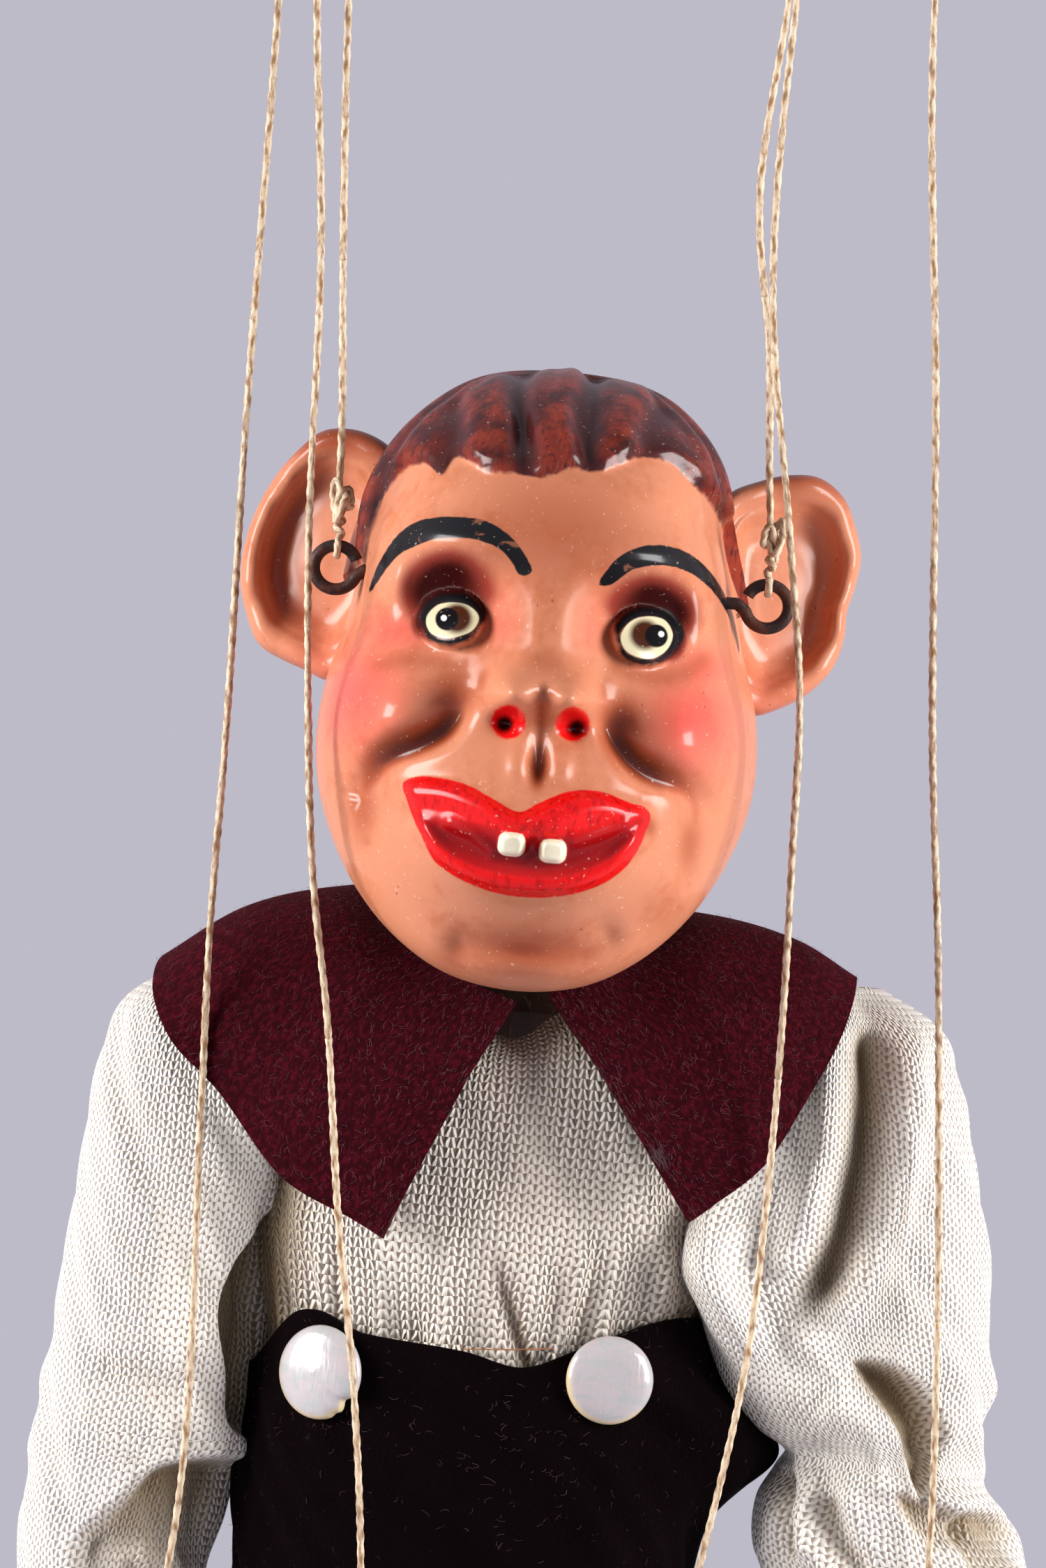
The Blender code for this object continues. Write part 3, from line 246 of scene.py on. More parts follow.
@dataclass
class Surface:
    """A grid of points in millimetres that becomes one mesh.

    Rows may close into a loop, columns may too, and the first and last rows may be filled to a middle point. Marks are
    values at the points, and uv takes the place of the measured lengths. A sheet that isn't a tube gives the row count
    of its outer side as ends, and its two side edges are then closed.
    """

    points: Array
    loop_columns: bool = True
    loop_rows: bool = False
    filled: bool = False
    marks: dict[str, Array] = field(default_factory=dict)
    uv: Optional[tuple[Array, Array]] = None
    ends: Optional[int] = None

    def corner_grid(self) -> Array:
        """Vertex numbers at each grid corner, with the first row or column again after the last where it closes."""
        rows, columns = self.points.shape[:2]
        grid = np.arange(rows * columns).reshape(rows, columns)
        if self.loop_columns:
            grid = np.concatenate([grid, grid[:, :1]], axis=1)
        if self.loop_rows:
            grid = np.concatenate([grid, grid[:1]], axis=0)
        return grid

    def lengths(self) -> tuple[Array, Array]:
        """Metres along the columns and down the rows at each grid corner, for patterns that follow the surface."""
        if self.uv is not None:
            return self.uv
        p = self.points
        if self.loop_columns:
            p = np.concatenate([p, p[:, :1]], axis=1)
        if self.loop_rows:
            p = np.concatenate([p, p[:1]], axis=0)
        across = np.linalg.norm(np.diff(p, axis=1), axis=2)
        down = np.linalg.norm(np.diff(p, axis=0), axis=2).mean(axis=1)
        u = np.concatenate([[0.0], np.cumsum(across.mean(axis=0))]) * MM
        v = np.concatenate([[0.0], np.cumsum(down)]) * MM
        return np.meshgrid(u, v)

    def build(self, name: str) -> bpy.types.Mesh:
        """The mesh, with outward faces, smooth shading, a UV map in metres and the marks as attributes.

        Args:
            name: The mesh's name.

        Returns:
            The new mesh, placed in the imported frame.
        """
        rows, columns = self.points.shape[:2]
        flat = in_frame(self.points.reshape(-1, 3))
        grid = self.corner_grid()
        u, v = self.lengths()
        quads, *maps = (
            np.stack([part.ravel() for part in (g[:-1, :-1], g[1:, :-1], g[1:, 1:], g[:-1, 1:])], axis=1)
            for g in (grid, u, v)
        )
        coords = np.stack(maps, axis=2)
        if self.ends is not None:
            near = np.arange(self.ends - 1)
            far = rows - 1 - near
            for column, turn in ((0, 1), (columns - 1, -1)):
                extra = np.stack([near, near + 1, far - 1, far], axis=1)[:, ::turn] * columns + column
                quads = np.concatenate([quads, extra])
                coords = np.concatenate([coords, np.zeros((len(extra), 4, 2))])
        triangles = np.zeros((0, 3), int)
        if self.filled:
            middles = in_frame(self.points[[0, -1]].mean(axis=1))
            flat = np.concatenate([flat, middles])
            first, last = rows * columns, rows * columns + 1
            top = np.stack([np.full(grid.shape[1] - 1, first), grid[0, :-1], grid[0, 1:]], axis=1)
            low = np.stack([np.full(grid.shape[1] - 1, last), grid[-1, 1:], grid[-1, :-1]], axis=1)
            triangles = np.concatenate([top, low])
        a, b, c, d = (flat[quads[:, k]] for k in range(4))
        inside = np.einsum("ij,ij->", a, np.cross(b, c) + np.cross(c, d))
        if len(triangles):
            e, f, g = (flat[triangles[:, k]] for k in range(3))
            inside += np.einsum("ij,ij->", e, np.cross(f, g))
        if inside < 0:
            quads, coords, triangles = quads[:, ::-1], coords[:, ::-1], triangles[:, ::-1]
        mesh = bpy.data.meshes.new(name)
        corners = np.concatenate([quads.ravel(), triangles.ravel()]).astype(np.int32)
        starts = np.concatenate([np.arange(len(quads)) * 4, len(quads) * 4 + np.arange(len(triangles)) * 3])
        mesh.vertices.add(len(flat))
        mesh.vertices.foreach_set("co", flat.astype(np.float32).ravel())
        mesh.loops.add(len(corners))
        mesh.loops.foreach_set("vertex_index", corners)
        mesh.polygons.add(len(starts))
        mesh.polygons.foreach_set("loop_start", starts.astype(np.int32))
        mesh.polygons.foreach_set("use_smooth", np.ones(len(starts), bool))
        mesh.update(calc_edges=True)
        layer = mesh.uv_layers.new(name="cloth")
        filler = np.zeros((triangles.size, 2))
        layer.data.foreach_set("uv", np.concatenate([coords.reshape(-1, 2), filler]).astype(np.float32).ravel())
        for word, values in self.marks.items():
            spread = np.zeros(len(flat), np.float32)
            spread[: rows * columns] = values.ravel()
            if self.filled:
                spread[-2], spread[-1] = values[0].mean(), values[-1].mean()
            mesh.attributes.new(word, "FLOAT", "POINT").data.foreach_set("value", spread)
        mesh.validate()
        return mesh


def normals_of(points: Array, loop_columns: bool = True) -> Array:
    """The unit normal at each grid point: the cross product of the differences along the columns and the rows."""
    if loop_columns:
        padded = np.concatenate([points[:, -1:], points, points[:, :1]], axis=1)
        across = np.gradient(padded, axis=1)[:, 1:-1]
    else:
        across = np.gradient(points, axis=1)
    return unit(np.cross(across, np.gradient(points, axis=0)))


def edged(grid: Array, inset: float = 0.04) -> Array:
    """The same grid with one more row close inside its first and its last, which keeps an edge's shading narrow."""
    near = (1.0 - inset) * grid[[0, -1]] + inset * grid[[1, -2]]
    return np.concatenate([grid[:1], near[:1], grid[1:-1], near[1:], grid[-1:]])


def thick_sheet(
    points: Array, thickness: float, loop_columns: bool = True, uv_from: float = 0.0, **marks: Array
) -> Surface:
    """A closed sheet: the grid itself, then the same grid moved inwards along its normals and run backwards.

    Args:
        points: The outer side's grid.
        thickness: How far the inner side lies from it, against its normal.
        loop_columns: Whether the sheet is a tube.
        uv_from: Millimetres added along the rows of the pattern.
        marks: Values at the outer grid's points, which the inner side shares.

    Returns:
        The surface, closed all round.
    """
    points = edged(points)
    inner = points - thickness * normals_of(points, loop_columns)
    both = np.concatenate([points, inner[::-1]])
    outer = Surface(points, loop_columns)
    u, v = outer.lengths()
    v = v + MM * uv_from
    uv = (np.concatenate([u, u[::-1], u[:1]]), np.concatenate([v, v[::-1], v[:1]]))
    made = Surface(both, loop_columns, loop_rows=True, uv=uv, ends=None if loop_columns else len(points))
    made.marks = {word: np.concatenate([edged(values), edged(values)[::-1]]) for word, values in marks.items()}
    return made


def tube(path: Array, radius: Array, sides: int, hint: tuple[float, float, float], closed: bool = False) -> Surface:
    """A profile carried along a path: at each path point a ring across the path, of the given radius.

    Args:
        path: The centreline's points.
        radius: One radius for all, one for each point, or one for each point and side.
        sides: Points round the ring.
        hint: A direction that the path never runs along, which fixes where each ring starts.
        closed: Whether the path is a loop.

    Returns:
        The tube, with filled ends unless it is a loop.
    """
    if closed:
        along = unit(np.roll(path, -1, axis=0) - np.roll(path, 1, axis=0))
    else:
        along = unit(np.gradient(path, axis=0))
    first = unit(np.cross(along, np.array(hint, float)))
    second = np.cross(along, first)
    angle = turns(sides)
    radius = np.asarray(radius, float)
    reach = np.broadcast_to(radius if radius.ndim == 2 else radius.reshape(-1, 1), (len(path), sides))
    ring = np.cos(angle)[None, :, None] * first[:, None] + np.sin(angle)[None, :, None] * second[:, None]
    return Surface(path[:, None] + reach[..., None] * ring, loop_rows=closed, filled=not closed)


def oval_rings(levels: Array, middle: Sequence, half: Sequence, sides: int, power: float = 2.0) -> Array:
    """Horizontal rings: at each level a superellipse about a middle, with half sizes across and in depth.

    Args:
        levels: One level for each ring.
        middle: The rings' middles, across and in depth: one number for all rings or one for each.
        half: The rings' half sizes, given in the same way.
        sides: Points round each ring, the first at the viewer's right and on towards the back.
        power: 2 for an ellipse, more for a squarer one.

    Returns:
        The grid of ring points.
    """
    angle = turns(sides)
    c, s = np.cos(angle), np.sin(angle)
    (mx, my), (hx, hy) = (
        [np.broadcast_to(v, levels.shape)[:, None] for v in pair] for pair in (middle, half)
    )
    x = mx + hx * np.sign(c) * np.abs(c) ** (2 / power)
    y = my + hy * np.sign(s) * np.abs(s) ** (2 / power)
    return np.stack([x, y, np.broadcast_to(levels[:, None], x.shape)], axis=2)


def pushed_out(p: Array, middle: Sequence, out: Array) -> Array:
    """Ring points moved level by out, away from the rings' middles, which are given as in oval_rings."""
    x, y = (p[..., k] - np.broadcast_to(v, p.shape[:1])[:, None] for k, v in enumerate(middle))
    return p + out[..., None] * unit(np.stack([x, y, np.zeros(x.shape)], axis=2))


def link(name: str, data: bpy.types.ID) -> bpy.types.Object:
    """A new object of the scene at the origin."""
    made = bpy.data.objects.new(name, data)
    bpy.context.scene.collection.objects.link(made)
    return made


def add_piece(
    name: str, made: Union[Surface, bpy.types.Mesh], material: bpy.types.Material,
    node: Optional[str] = None, body: Optional[str] = None,
) -> bpy.types.Object:
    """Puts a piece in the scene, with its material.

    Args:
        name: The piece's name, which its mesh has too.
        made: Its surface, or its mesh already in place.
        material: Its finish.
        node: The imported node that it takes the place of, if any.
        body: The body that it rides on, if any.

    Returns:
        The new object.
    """
    mesh = made.build(name) if isinstance(made, Surface) else made
    piece = link(name, mesh)
    mesh.materials.append(material)
    if node:
        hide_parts(node)
    if body:
        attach(piece, body)
    LOG.info("%s: %d faces", name, len(mesh.polygons))
    return piece


class Graph:
    """A shader tree under construction, with short calls for the nodes that the finishes share."""

    def __init__(self, tree: bpy.types.NodeTree) -> None:
        """Starts on an existing tree."""
        self.tree = tree

    def node(self, kind: str, inputs: Optional[dict] = None, **settings: object) -> bpy.types.Node:
        """Adds a node, sets its options, and sets or links its inputs by name or number."""
        made = self.tree.nodes.new(kind)
        for word, value in settings.items():
            setattr(made, word, value)
        for key, value in (inputs or {}).items():
            self.feed(made.inputs[key], value)
        return made

    def feed(self, socket: Socket, value: object) -> None:
        """Links a socket to another, or sets its plain value."""
        if isinstance(value, bpy.types.NodeSocket):
            self.tree.links.new(value, socket)
        else:
            socket.default_value = value

    def math(self, operation: str, a: Value, b: Value = 0.0, clamp: bool = False) -> Socket:
        """One sum on two values."""
        return self.node("ShaderNodeMath", {0: a, 1: b}, operation=operation, use_clamp=clamp).outputs[0]

    def fade(self, value: Value, start: float, end: float, low: float = 0.0, high: float = 1.0) -> Socket:
        """A smooth change from low at start to high at end."""
        inputs = {"Value": value, "From Min": start, "From Max": end, "To Min": low, "To Max": high}
        return self.node("ShaderNodeMapRange", inputs, interpolation_type="SMOOTHSTEP").outputs[0]

    def mix(self, share: Value, a: object, b: object, most: float = 1.0) -> Socket:
        """A mix of two colours, with the share of the second times most."""
        if most != 1.0:
            share = self.math("MULTIPLY", share, most)
        return self.node("ShaderNodeMix", {0: share, 6: a, 7: b}, data_type="RGBA").outputs[2]

    def shift(self, value: Value, by: Value, times: float) -> Socket:
        """A value plus another one times a number."""
        return self.math("ADD", value, self.math("MULTIPLY", by, times))

    def greatest(self, first: Value, *others: Value) -> Socket:
        """The greatest of several values."""
        for value in others:
            first = self.math("MAXIMUM", first, value)
        return first

    def noise(self, vector: Socket, scale: Value, detail: float = 3.0, bend: float = 0.0) -> Socket:
        """Cloudy values about 0.5."""
        inputs = {"Vector": vector, "Scale": scale, "Detail": detail, "Distortion": bend}
        return self.node("ShaderNodeTexNoise", inputs).outputs[0]

    def mark(self, name: str) -> Socket:
        """The value of one of the mesh's own marks."""
        return self.node("ShaderNodeAttribute", attribute_name=name).outputs["Fac"]

    def coords(self, word: str) -> Socket:
        """Object or UV coordinates."""
        return self.node("ShaderNodeTexCoord").outputs[word]

    def stretch(self, vector: Socket, scale: tuple[float, float, float], turn: float = 0.0) -> Socket:
        """Coordinates stretched along their axes and turned about the third."""
        return self.node("ShaderNodeMapping", {"Vector": vector, "Scale": scale, "Rotation": (0, 0, turn)}).outputs[0]

    def bump(self, height: Socket, distance: float, strength: float) -> Socket:
        """A normal tilted by a height."""
        return self.node("ShaderNodeBump", {"Height": height, "Distance": distance, "Strength": strength}).outputs[0]

    def group(self, tree: bpy.types.NodeTree, **inputs: object) -> bpy.types.bpy_prop_collection:
        """Places a node group with its own values and returns its outputs."""
        return self.node("ShaderNodeGroup", inputs, node_tree=tree).outputs


class Effects:
    """Node groups that several finishes place with their own values, each built once."""

    @staticmethod
    def _start(name: str, outputs: Sequence[str], scale: Optional[float] = None) -> tuple:
        """Makes a group with a vector, a scale if it has one, and outputs, and returns it with its graph and ends."""
        tree = bpy.data.node_groups.new(name, "ShaderNodeTree")
        tree.interface.new_socket("Vector", in_out="INPUT", socket_type="NodeSocketVector")
        if scale is not None:
            tree.interface.new_socket("Scale", in_out="INPUT", socket_type="NodeSocketFloat").default_value = scale
        for word in outputs:
            tree.interface.new_socket(word, in_out="OUTPUT", socket_type="NodeSocketFloat")
        g = Graph(tree)
        return tree, g, g.node("NodeGroupInput").outputs, g.node("NodeGroupOutput").inputs

    @staticmethod
    @cache
    def mottle() -> bpy.types.NodeTree:
        """Uneven colour at two sizes: a broad cloud and a fine one, mixed two to one."""
        tree, g, given, end = Effects._start("mottle", ("Cloud", "Speck"), 100.0)
        broad = g.noise(given[0], given[1])
        fine = g.noise(given[0], g.math("MULTIPLY", given[1], 6.0), 4.0)
        g.feed(end[0], g.shift(g.math("MULTIPLY", broad, 0.67), fine, 0.33))
        g.feed(end[1], g.fade(fine, 0.62, 0.75))
        return tree

    @staticmethod
    @cache
    def nap() -> bpy.types.NodeTree:
        """Short matted fibres: the greatest of three fine clouds stretched along crossing directions."""
        tree, g, given, end = Effects._start("nap", ("Fibre", "Height"), 1000.0)
        layers = ((0.5, 0.6), (2.1, 0.7), (1.2, 0.55))
        laid = [g.stretch(given[0], (1.0, pull, pull), turn) for turn, pull in layers]
        top = g.greatest(*(g.noise(vector, given[1], 2.0) for vector in laid))
        g.feed(end[0], g.fade(top, 0.5, 0.72))
        g.feed(end[1], top)
        return tree

    @staticmethod
    @cache
    def grain() -> bpy.types.NodeTree:
        """Wood grain: rings seen along the length, bent by a cloud, with fine pores over them."""
        tree, g, given, end = Effects._start("grain", ("Ring", "Pore"), 60.0)
        inputs = {"Vector": given[0], "Scale": given[1], "Distortion": 5.0, "Detail": 3.0}
        rings = g.node("ShaderNodeTexWave", inputs, wave_type="BANDS", bands_direction="X")
        g.feed(end[0], rings.outputs["Fac"])
        g.feed(end[1], g.fade(g.noise(given[0], g.math("MULTIPLY", given[1], 14.0), 2.0), 0.58, 0.7))
        return tree

    @staticmethod
    @cache
    def stitch() -> bpy.types.NodeTree:
        """Rows of knitted V stitches.

        In each cell two strands lean from the middle of its foot to the outer thirds of its head. A strand's height
        falls with the square of the distance across it, and every strand dips where it enters the row above.
        """
        tree, g, given, end = Effects._start("stitch", ("Height", "Gap"))
        parts = g.node("ShaderNodeSeparateXYZ", {0: given[0]}).outputs
        x, y = (g.math("FRACT", parts[k]) for k in (0, 1))
        reach = g.math("ABSOLUTE", g.math("SUBTRACT", x, 0.5))
        lean = g.shift(0.10, y, 0.26)
        off = g.math("DIVIDE", g.math("SUBTRACT", reach, lean), 0.225)
        body = g.math("SUBTRACT", 1.0, g.math("MULTIPLY", off, off), clamp=True)
        dip = g.math("SINE", g.math("MULTIPLY", y, math.pi))
        g.feed(end[0], g.math("MULTIPLY", body, g.shift(0.55, dip, 0.45)))
        g.feed(end[1], g.fade(body, 0.26, 0.0))
        return tree


@dataclass(frozen=True)
class Finish:
    """A material made once: its name and the plain values of its shader."""

    name: str
    roughness: float = 0.5
    metallic: float = 0.0
    coat: float = 0.0
    coat_roughness: float = 0.1
    sheen: float = 0.0
    sheen_roughness: float = 0.4
    specular: float = 0.5

    def make(self) -> bpy.types.Material:
        """The material: its plain values, then what its looks set or link."""
        material = bpy.data.materials.new(self.name)
        material.use_nodes = True
        shader = material.node_tree.nodes["Principled BSDF"]
        g = Graph(material.node_tree)
        plain = {
            "Roughness": self.roughness, "Metallic": self.metallic, "Coat Weight": self.coat,
            "Coat Roughness": self.coat_roughness, "Sheen Weight": self.sheen,
            "Sheen Roughness": self.sheen_roughness, "Specular IOR Level": self.specular,
        }
        for inputs in (plain, self.looks(g)):
            for word, value in inputs.items():
                g.feed(shader.inputs[word], value)
        return material

    def looks(self, g: Graph) -> dict[str, object]:
        """What goes into the shader's inputs besides the plain values."""
        raise NotImplementedError


@dataclass(frozen=True)
class PlainSkin(Finish):
    """Peach paint over the hands and shins, with uneven colour and tiny pits."""

    base: Colour = tint(222, 152, 108)
    shade: Colour = tint(178, 104, 66)
    pit: Colour = tint(120, 70, 50)

    def looks(self, g: Graph) -> dict[str, object]:
        """Patches and pits on Object coordinates."""
        cloud, speck = g.group(Effects.mottle(), Vector=g.coords("Object"), Scale=160.0)
        colour = g.mix(g.fade(cloud, 0.48, 0.75), self.base, self.shade)
        return {
            "Base Color": g.mix(speck, colour, self.pit, 0.25),
            "Roughness": g.fade(cloud, 0.3, 0.7, 0.3, 0.48),
            "Normal": g.bump(cloud, 0.0004, 0.5),
        }


@dataclass(frozen=True)
class FacePaint(Finish):
    """The head's paint: each mark on the mesh is a distance or an amount that becomes one colour of the face."""

    skin: Colour = tint(204, 130, 97)
    warm: Colour = tint(186, 106, 72)
    blush: Colour = tint(226, 82, 74)
    # Light and dark brown for the crease mark: partly the face's own crease paint, partly painted shade. The dark brown
    # also fills the paint's pits.
    tan: Colour = tint(156, 74, 44)
    brown: Colour = tint(72, 20, 8)
    wine: Colour = tint(142, 54, 40)
    maroon: Colour = tint(52, 8, 6)
    # The dark inside the nostrils is painted shade in their hollows.
    nostril: Colour = tint(44, 4, 7)
    lip: Colour = tint(222, 16, 16)
    lip_streak: Colour = tint(184, 8, 12)
    mouth_edge: Colour = tint(184, 12, 14)
    inner_lip: Colour = tint(132, 6, 10)
    tooth: Colour = tint(236, 226, 196)
    eye_white: Colour = tint(214, 202, 166)
    iris: Colour = tint(66, 29, 11)
    glint: Colour = tint(250, 248, 240)
    black: Colour = tint(13, 12, 15)
    worn_ink: Colour = tint(122, 74, 52)
    # The hair is darkest in its grooves, which is painted shade, and redder in patches on its crests.
    hair: Colour = tint(62, 17, 15)
    hair_red: Colour = tint(142, 50, 32)
    hair_streak: Colour = tint(60, 20, 22)
    dust: Colour = tint(226, 206, 184)

    def looks(self, g: Graph) -> dict[str, object]:
        """The paint's layers from the skin up, each masked by its mark and a little noise."""
        where = g.coords("Object")
        cloud = g.group(Effects.mottle(), Vector=where, Scale=110.0)["Cloud"]
        ragged = g.math("SUBTRACT", g.noise(where, 900.0, 4.0), 0.5)
        streaks = g.noise(g.stretch(where, (1.0, 1.0, 0.35)), 1500.0)

        def painted(under: Socket, mark: str, paint: object, edge: float, rag: float) -> tuple[Socket, Socket]:
            """Lays a paint inside a distance mark, with a soft edge and a ragged one."""
            mask = g.fade(g.shift(g.mark(mark), ragged, rag), edge, -edge)
            return g.mix(mask, under, paint), mask

        colour = g.mix(g.fade(cloud, 0.46, 0.74), self.skin, self.warm)
        colour = g.mix(g.mark("blush"), colour, self.blush, 0.85)
        # The crease mark lays painted shade in the creases and hollows, partly over the face's brown crease paint; the
        # socket mark is the dark paint round the eyes.
        for word, first, second in (("crease", self.tan, self.brown), ("socket", self.wine, self.maroon)):
            colour = g.mix(g.fade(g.mark(word), 0.0, 0.5), colour, first)
            colour = g.mix(g.fade(g.mark(word), 0.35, 0.95), colour, second)
        pits = g.node("ShaderNodeTexVoronoi", {"Vector": where, "Scale": 420.0}).outputs["Distance"]
        pit = g.math("MULTIPLY", g.fade(pits, 0.09, 0.03), g.fade(g.noise(where, 90.0), 0.5, 0.62))
        colour = g.mix(pit, colour, self.brown, 0.6)

        colour, _ = painted(colour, "nostril", self.lip, 0.25, 0.5)
        # Painted shade in the nostrils' hollows.
        colour = g.mix(g.fade(g.mark("nostril_dark"), 0.4, -0.6), colour, self.nostril)
        lip = g.mix(g.fade(streaks, 0.45, 0.7), self.lip, self.lip_streak)
        colour, lip_mask = painted(colour, "lips", lip, 0.12, 0.25)
        inner = g.mix(g.fade(g.mark("mouth"), 0.0, -2.2), self.mouth_edge, self.inner_lip)
        colour, _ = painted(colour, "mouth", inner, 0.35, 0.3)
        colour, _ = painted(colour, "tooth", self.tooth, 0.1, 0.15)

        # Painted shade: the dark tone stays in the hair's grooves, and the red comes in patches on the crests.
        tone = g.math("MULTIPLY", g.mark("wave"), g.fade(g.noise(where, 240.0), 0.34, 0.62))
        waves = g.mix(tone, self.hair, self.hair_red)
        waves = g.mix(g.fade(streaks, 0.46, 0.8), waves, self.hair_streak)
        colour, hair_mask = painted(colour, "hair", waves, 0.2, 0.5)
        strokes = g.noise(g.stretch(where, (0.4, 1.0, 1.0)), 700.0, 4.0)
        ink = g.mix(g.fade(strokes, 0.63, 0.70), self.black, self.worn_ink)
        colour, _ = painted(colour, "brow", ink, 0.1, 0.25)

        colour = g.mix(g.fade(g.shift(g.mark("lid"), ragged, 0.8), 0.45, -0.3), colour, self.black)
        colour, eye_mask = painted(colour, "eye", self.eye_white, 0.1, 0.1)
        colour = g.mix(g.math("MULTIPLY", g.fade(g.mark("iris"), 2.45, 1.4), eye_mask), colour, self.iris)
        colour = g.mix(g.fade(g.mark("pupil"), 1.62, 1.36), colour, self.black)
        colour = g.mix(g.fade(g.mark("glint"), 0.5, 0.3), colour, self.glint)
        colour = g.mix(g.fade(g.noise(where, 1700.0, 2.0), 0.68, 0.74), colour, self.dust, 0.35)

        wave_shine, cheek_shine = g.math("MULTIPLY", g.mark("wave"), 0.4), g.math("MULTIPLY", g.mark("blush"), 0.45)
        shine = g.greatest(lip_mask, eye_mask, wave_shine, cheek_shine)
        uneven = g.math("MULTIPLY", g.math("SUBTRACT", cloud, 0.5), 0.22)
        dull = g.greatest(g.mark("socket"), g.mark("matte"))
        height = g.shift(g.math("MULTIPLY", cloud, 0.7), pit, -0.7)
        height = g.shift(height, g.math("MULTIPLY", hair_mask, streaks), 0.9)
        return {
            "Base Color": colour,
            "Roughness": g.math("ADD", g.fade(shine, 0.0, 1.0, 0.5, 0.3), uneven, clamp=True),
            "Coat Weight": g.fade(dull, 0.1, 0.8, self.coat, 0.08 * self.coat),
            "Normal": g.bump(height, 0.00045, 0.55),
        }


@dataclass(frozen=True)
class Knit(Finish):
    """Shiny cream knit: V stitches that follow the cloth, with painted shade in the gaps between them and in the folds,
    and a silky glint on the strands.
    """

    stitch_wide: float = 1.25
    stitch_tall: float = 1.15
    gap_shade: float = 0.8
    relief: float = 0.65
    base: Colour = tint(253, 247, 238)
    patch: Colour = tint(250, 240, 225)
    strand: Colour = tint(250, 243, 226)
    # Painted shade: deep lies in the gaps between stitches, and folded where the cloth's fold mark is.
    deep: Colour = tint(104, 74, 46)
    folded: Colour = tint(132, 104, 52)

    def looks(self, g: Graph) -> dict[str, object]:
        """Stitches on the cloth's own map in metres, swayed a little."""
        cloth = g.coords("UV")
        sway = g.node("ShaderNodeTexNoise", {"Vector": cloth, "Scale": 260.0, "Detail": 2.0}).outputs["Color"]
        for operation, by in (("SUBTRACT", (0.5, 0.5, 0.5)), ("MULTIPLY", (0.0009, 0.0009, 0.0)), ("ADD", cloth)):
            sway = g.node("ShaderNodeVectorMath", {0: sway, 1: by}, operation=operation).outputs[0]
        cells = g.stretch(sway, (1.0 / MM / self.stitch_wide, 1.0 / MM / self.stitch_tall, 1.0))
        height, gap = g.group(Effects.stitch(), Vector=cells)
        cloud = g.group(Effects.mottle(), Vector=cloth, Scale=70.0)["Cloud"]
        strands = g.noise(g.stretch(cloth, (1.0, 0.3, 1.0), 0.4), 4200.0, 2.0)
        colour = g.mix(g.fade(cloud, 0.42, 0.72), self.base, self.patch)
        colour = g.mix(g.fade(strands, 0.45, 0.7), colour, self.strand, 0.3)
        # Painted shade in the gaps between stitches.
        colour = g.mix(gap, colour, self.deep, self.gap_shade)
        # Painted shade in the folds, from the cloth's fold mark.
        return {
            "Base Color": g.mix(g.mark("fold"), colour, self.folded, 0.92),
            "Roughness": g.fade(height, 0.2, 1.0, 0.6, 0.28),
            "Normal": g.bump(g.shift(height, strands, 0.25), 0.0006, self.relief),
        }


@dataclass(frozen=True)
class Nap(Finish):
    """Felt or plush: matted fibres of a dark colour, paler where they stand up."""

    base: Colour = tint(44, 1, 9)
    raised: Colour = tint(80, 10, 24)
    scale: float = 1500.0
    depth: float = 0.0005

    def looks(self, g: Graph) -> dict[str, object]:
        """Fibres and dark patches on the cloth's own map in metres."""
        cloth = g.coords("UV")
        fibre, height = g.group(Effects.nap(), Vector=cloth, Scale=self.scale)
        cloud = g.group(Effects.mottle(), Vector=cloth, Scale=130.0)["Cloud"]
        colour = g.mix(fibre, self.base, self.raised, 0.75)
        dark = tuple(0.45 * c for c in self.base[:3]) + (1.0,)
        return {
            "Base Color": g.mix(g.fade(cloud, 0.5, 0.8), colour, dark),
            "Sheen Tint": self.raised,
            "Normal": g.bump(height, self.depth, 0.8),
        }


@dataclass(frozen=True)
class Twine(Finish):
    """Natural two-ply twine: fibres along the plies, darker between them as painted shade, with dusty patches."""

    base: Colour = tint(220, 198, 170)
    deep: Colour = tint(146, 110, 78)
    dusty: Colour = tint(150, 118, 86)

    def looks(self, g: Graph) -> dict[str, object]:
        """Fibres on the twine's own map: round it, then along it."""
        along = g.coords("UV")
        fibres = g.noise(g.stretch(along, (1500.0, 500.0, 1.0), 0.35), 1.0)
        patches = g.noise(g.stretch(along, (1.0, 120.0, 1.0)), 1.0)
        colour = g.mix(g.fade(fibres, 0.4, 0.68), self.base, self.deep)
        # Painted shade in the grooves between the plies.
        colour = g.mix(g.fade(g.mark("ply"), 0.35, 0.0), colour, self.deep)
        return {
            "Base Color": g.mix(g.fade(patches, 0.5, 0.75), colour, self.dusty, 0.4),
            "Normal": g.bump(fibres, 0.00025, 0.8),
        }


@dataclass(frozen=True)
class Pearl(Finish):
    """Mother-of-pearl: broad bands of grey and faint pink under a clear gloss, yellower towards the rim."""

    grey: Colour = tint(178, 178, 176)
    base: Colour = tint(186, 179, 180)
    pink: Colour = tint(192, 180, 180)
    vein: Colour = tint(180, 172, 164)
    rim: Colour = tint(222, 196, 138)

    def looks(self, g: Graph) -> dict[str, object]:
        """Colour bands on Object coordinates, the rim from the button's own mark."""
        where = g.coords("Object")
        bands = g.noise(g.stretch(where, (1.0, 1.0, 2.4)), 260.0, 2.0, 1.5)
        fine = g.noise(g.stretch(where, (2.5, 1.0, 0.6)), 900.0)
        colour = g.mix(g.fade(bands, 0.35, 0.5), self.grey, self.base)
        colour = g.mix(g.fade(bands, 0.52, 0.66), colour, self.pink)
        colour = g.mix(g.fade(fine, 0.55, 0.75), colour, self.vein, 0.35)
        return {
            "Base Color": g.mix(g.fade(g.mark("rim"), 0.84, 1.0, 0.0, 0.8), colour, self.rim),
            "Roughness": g.fade(fine, 0.4, 0.8, 0.16, 0.36),
            "Normal": g.bump(fine, 0.00012, 0.4),
        }


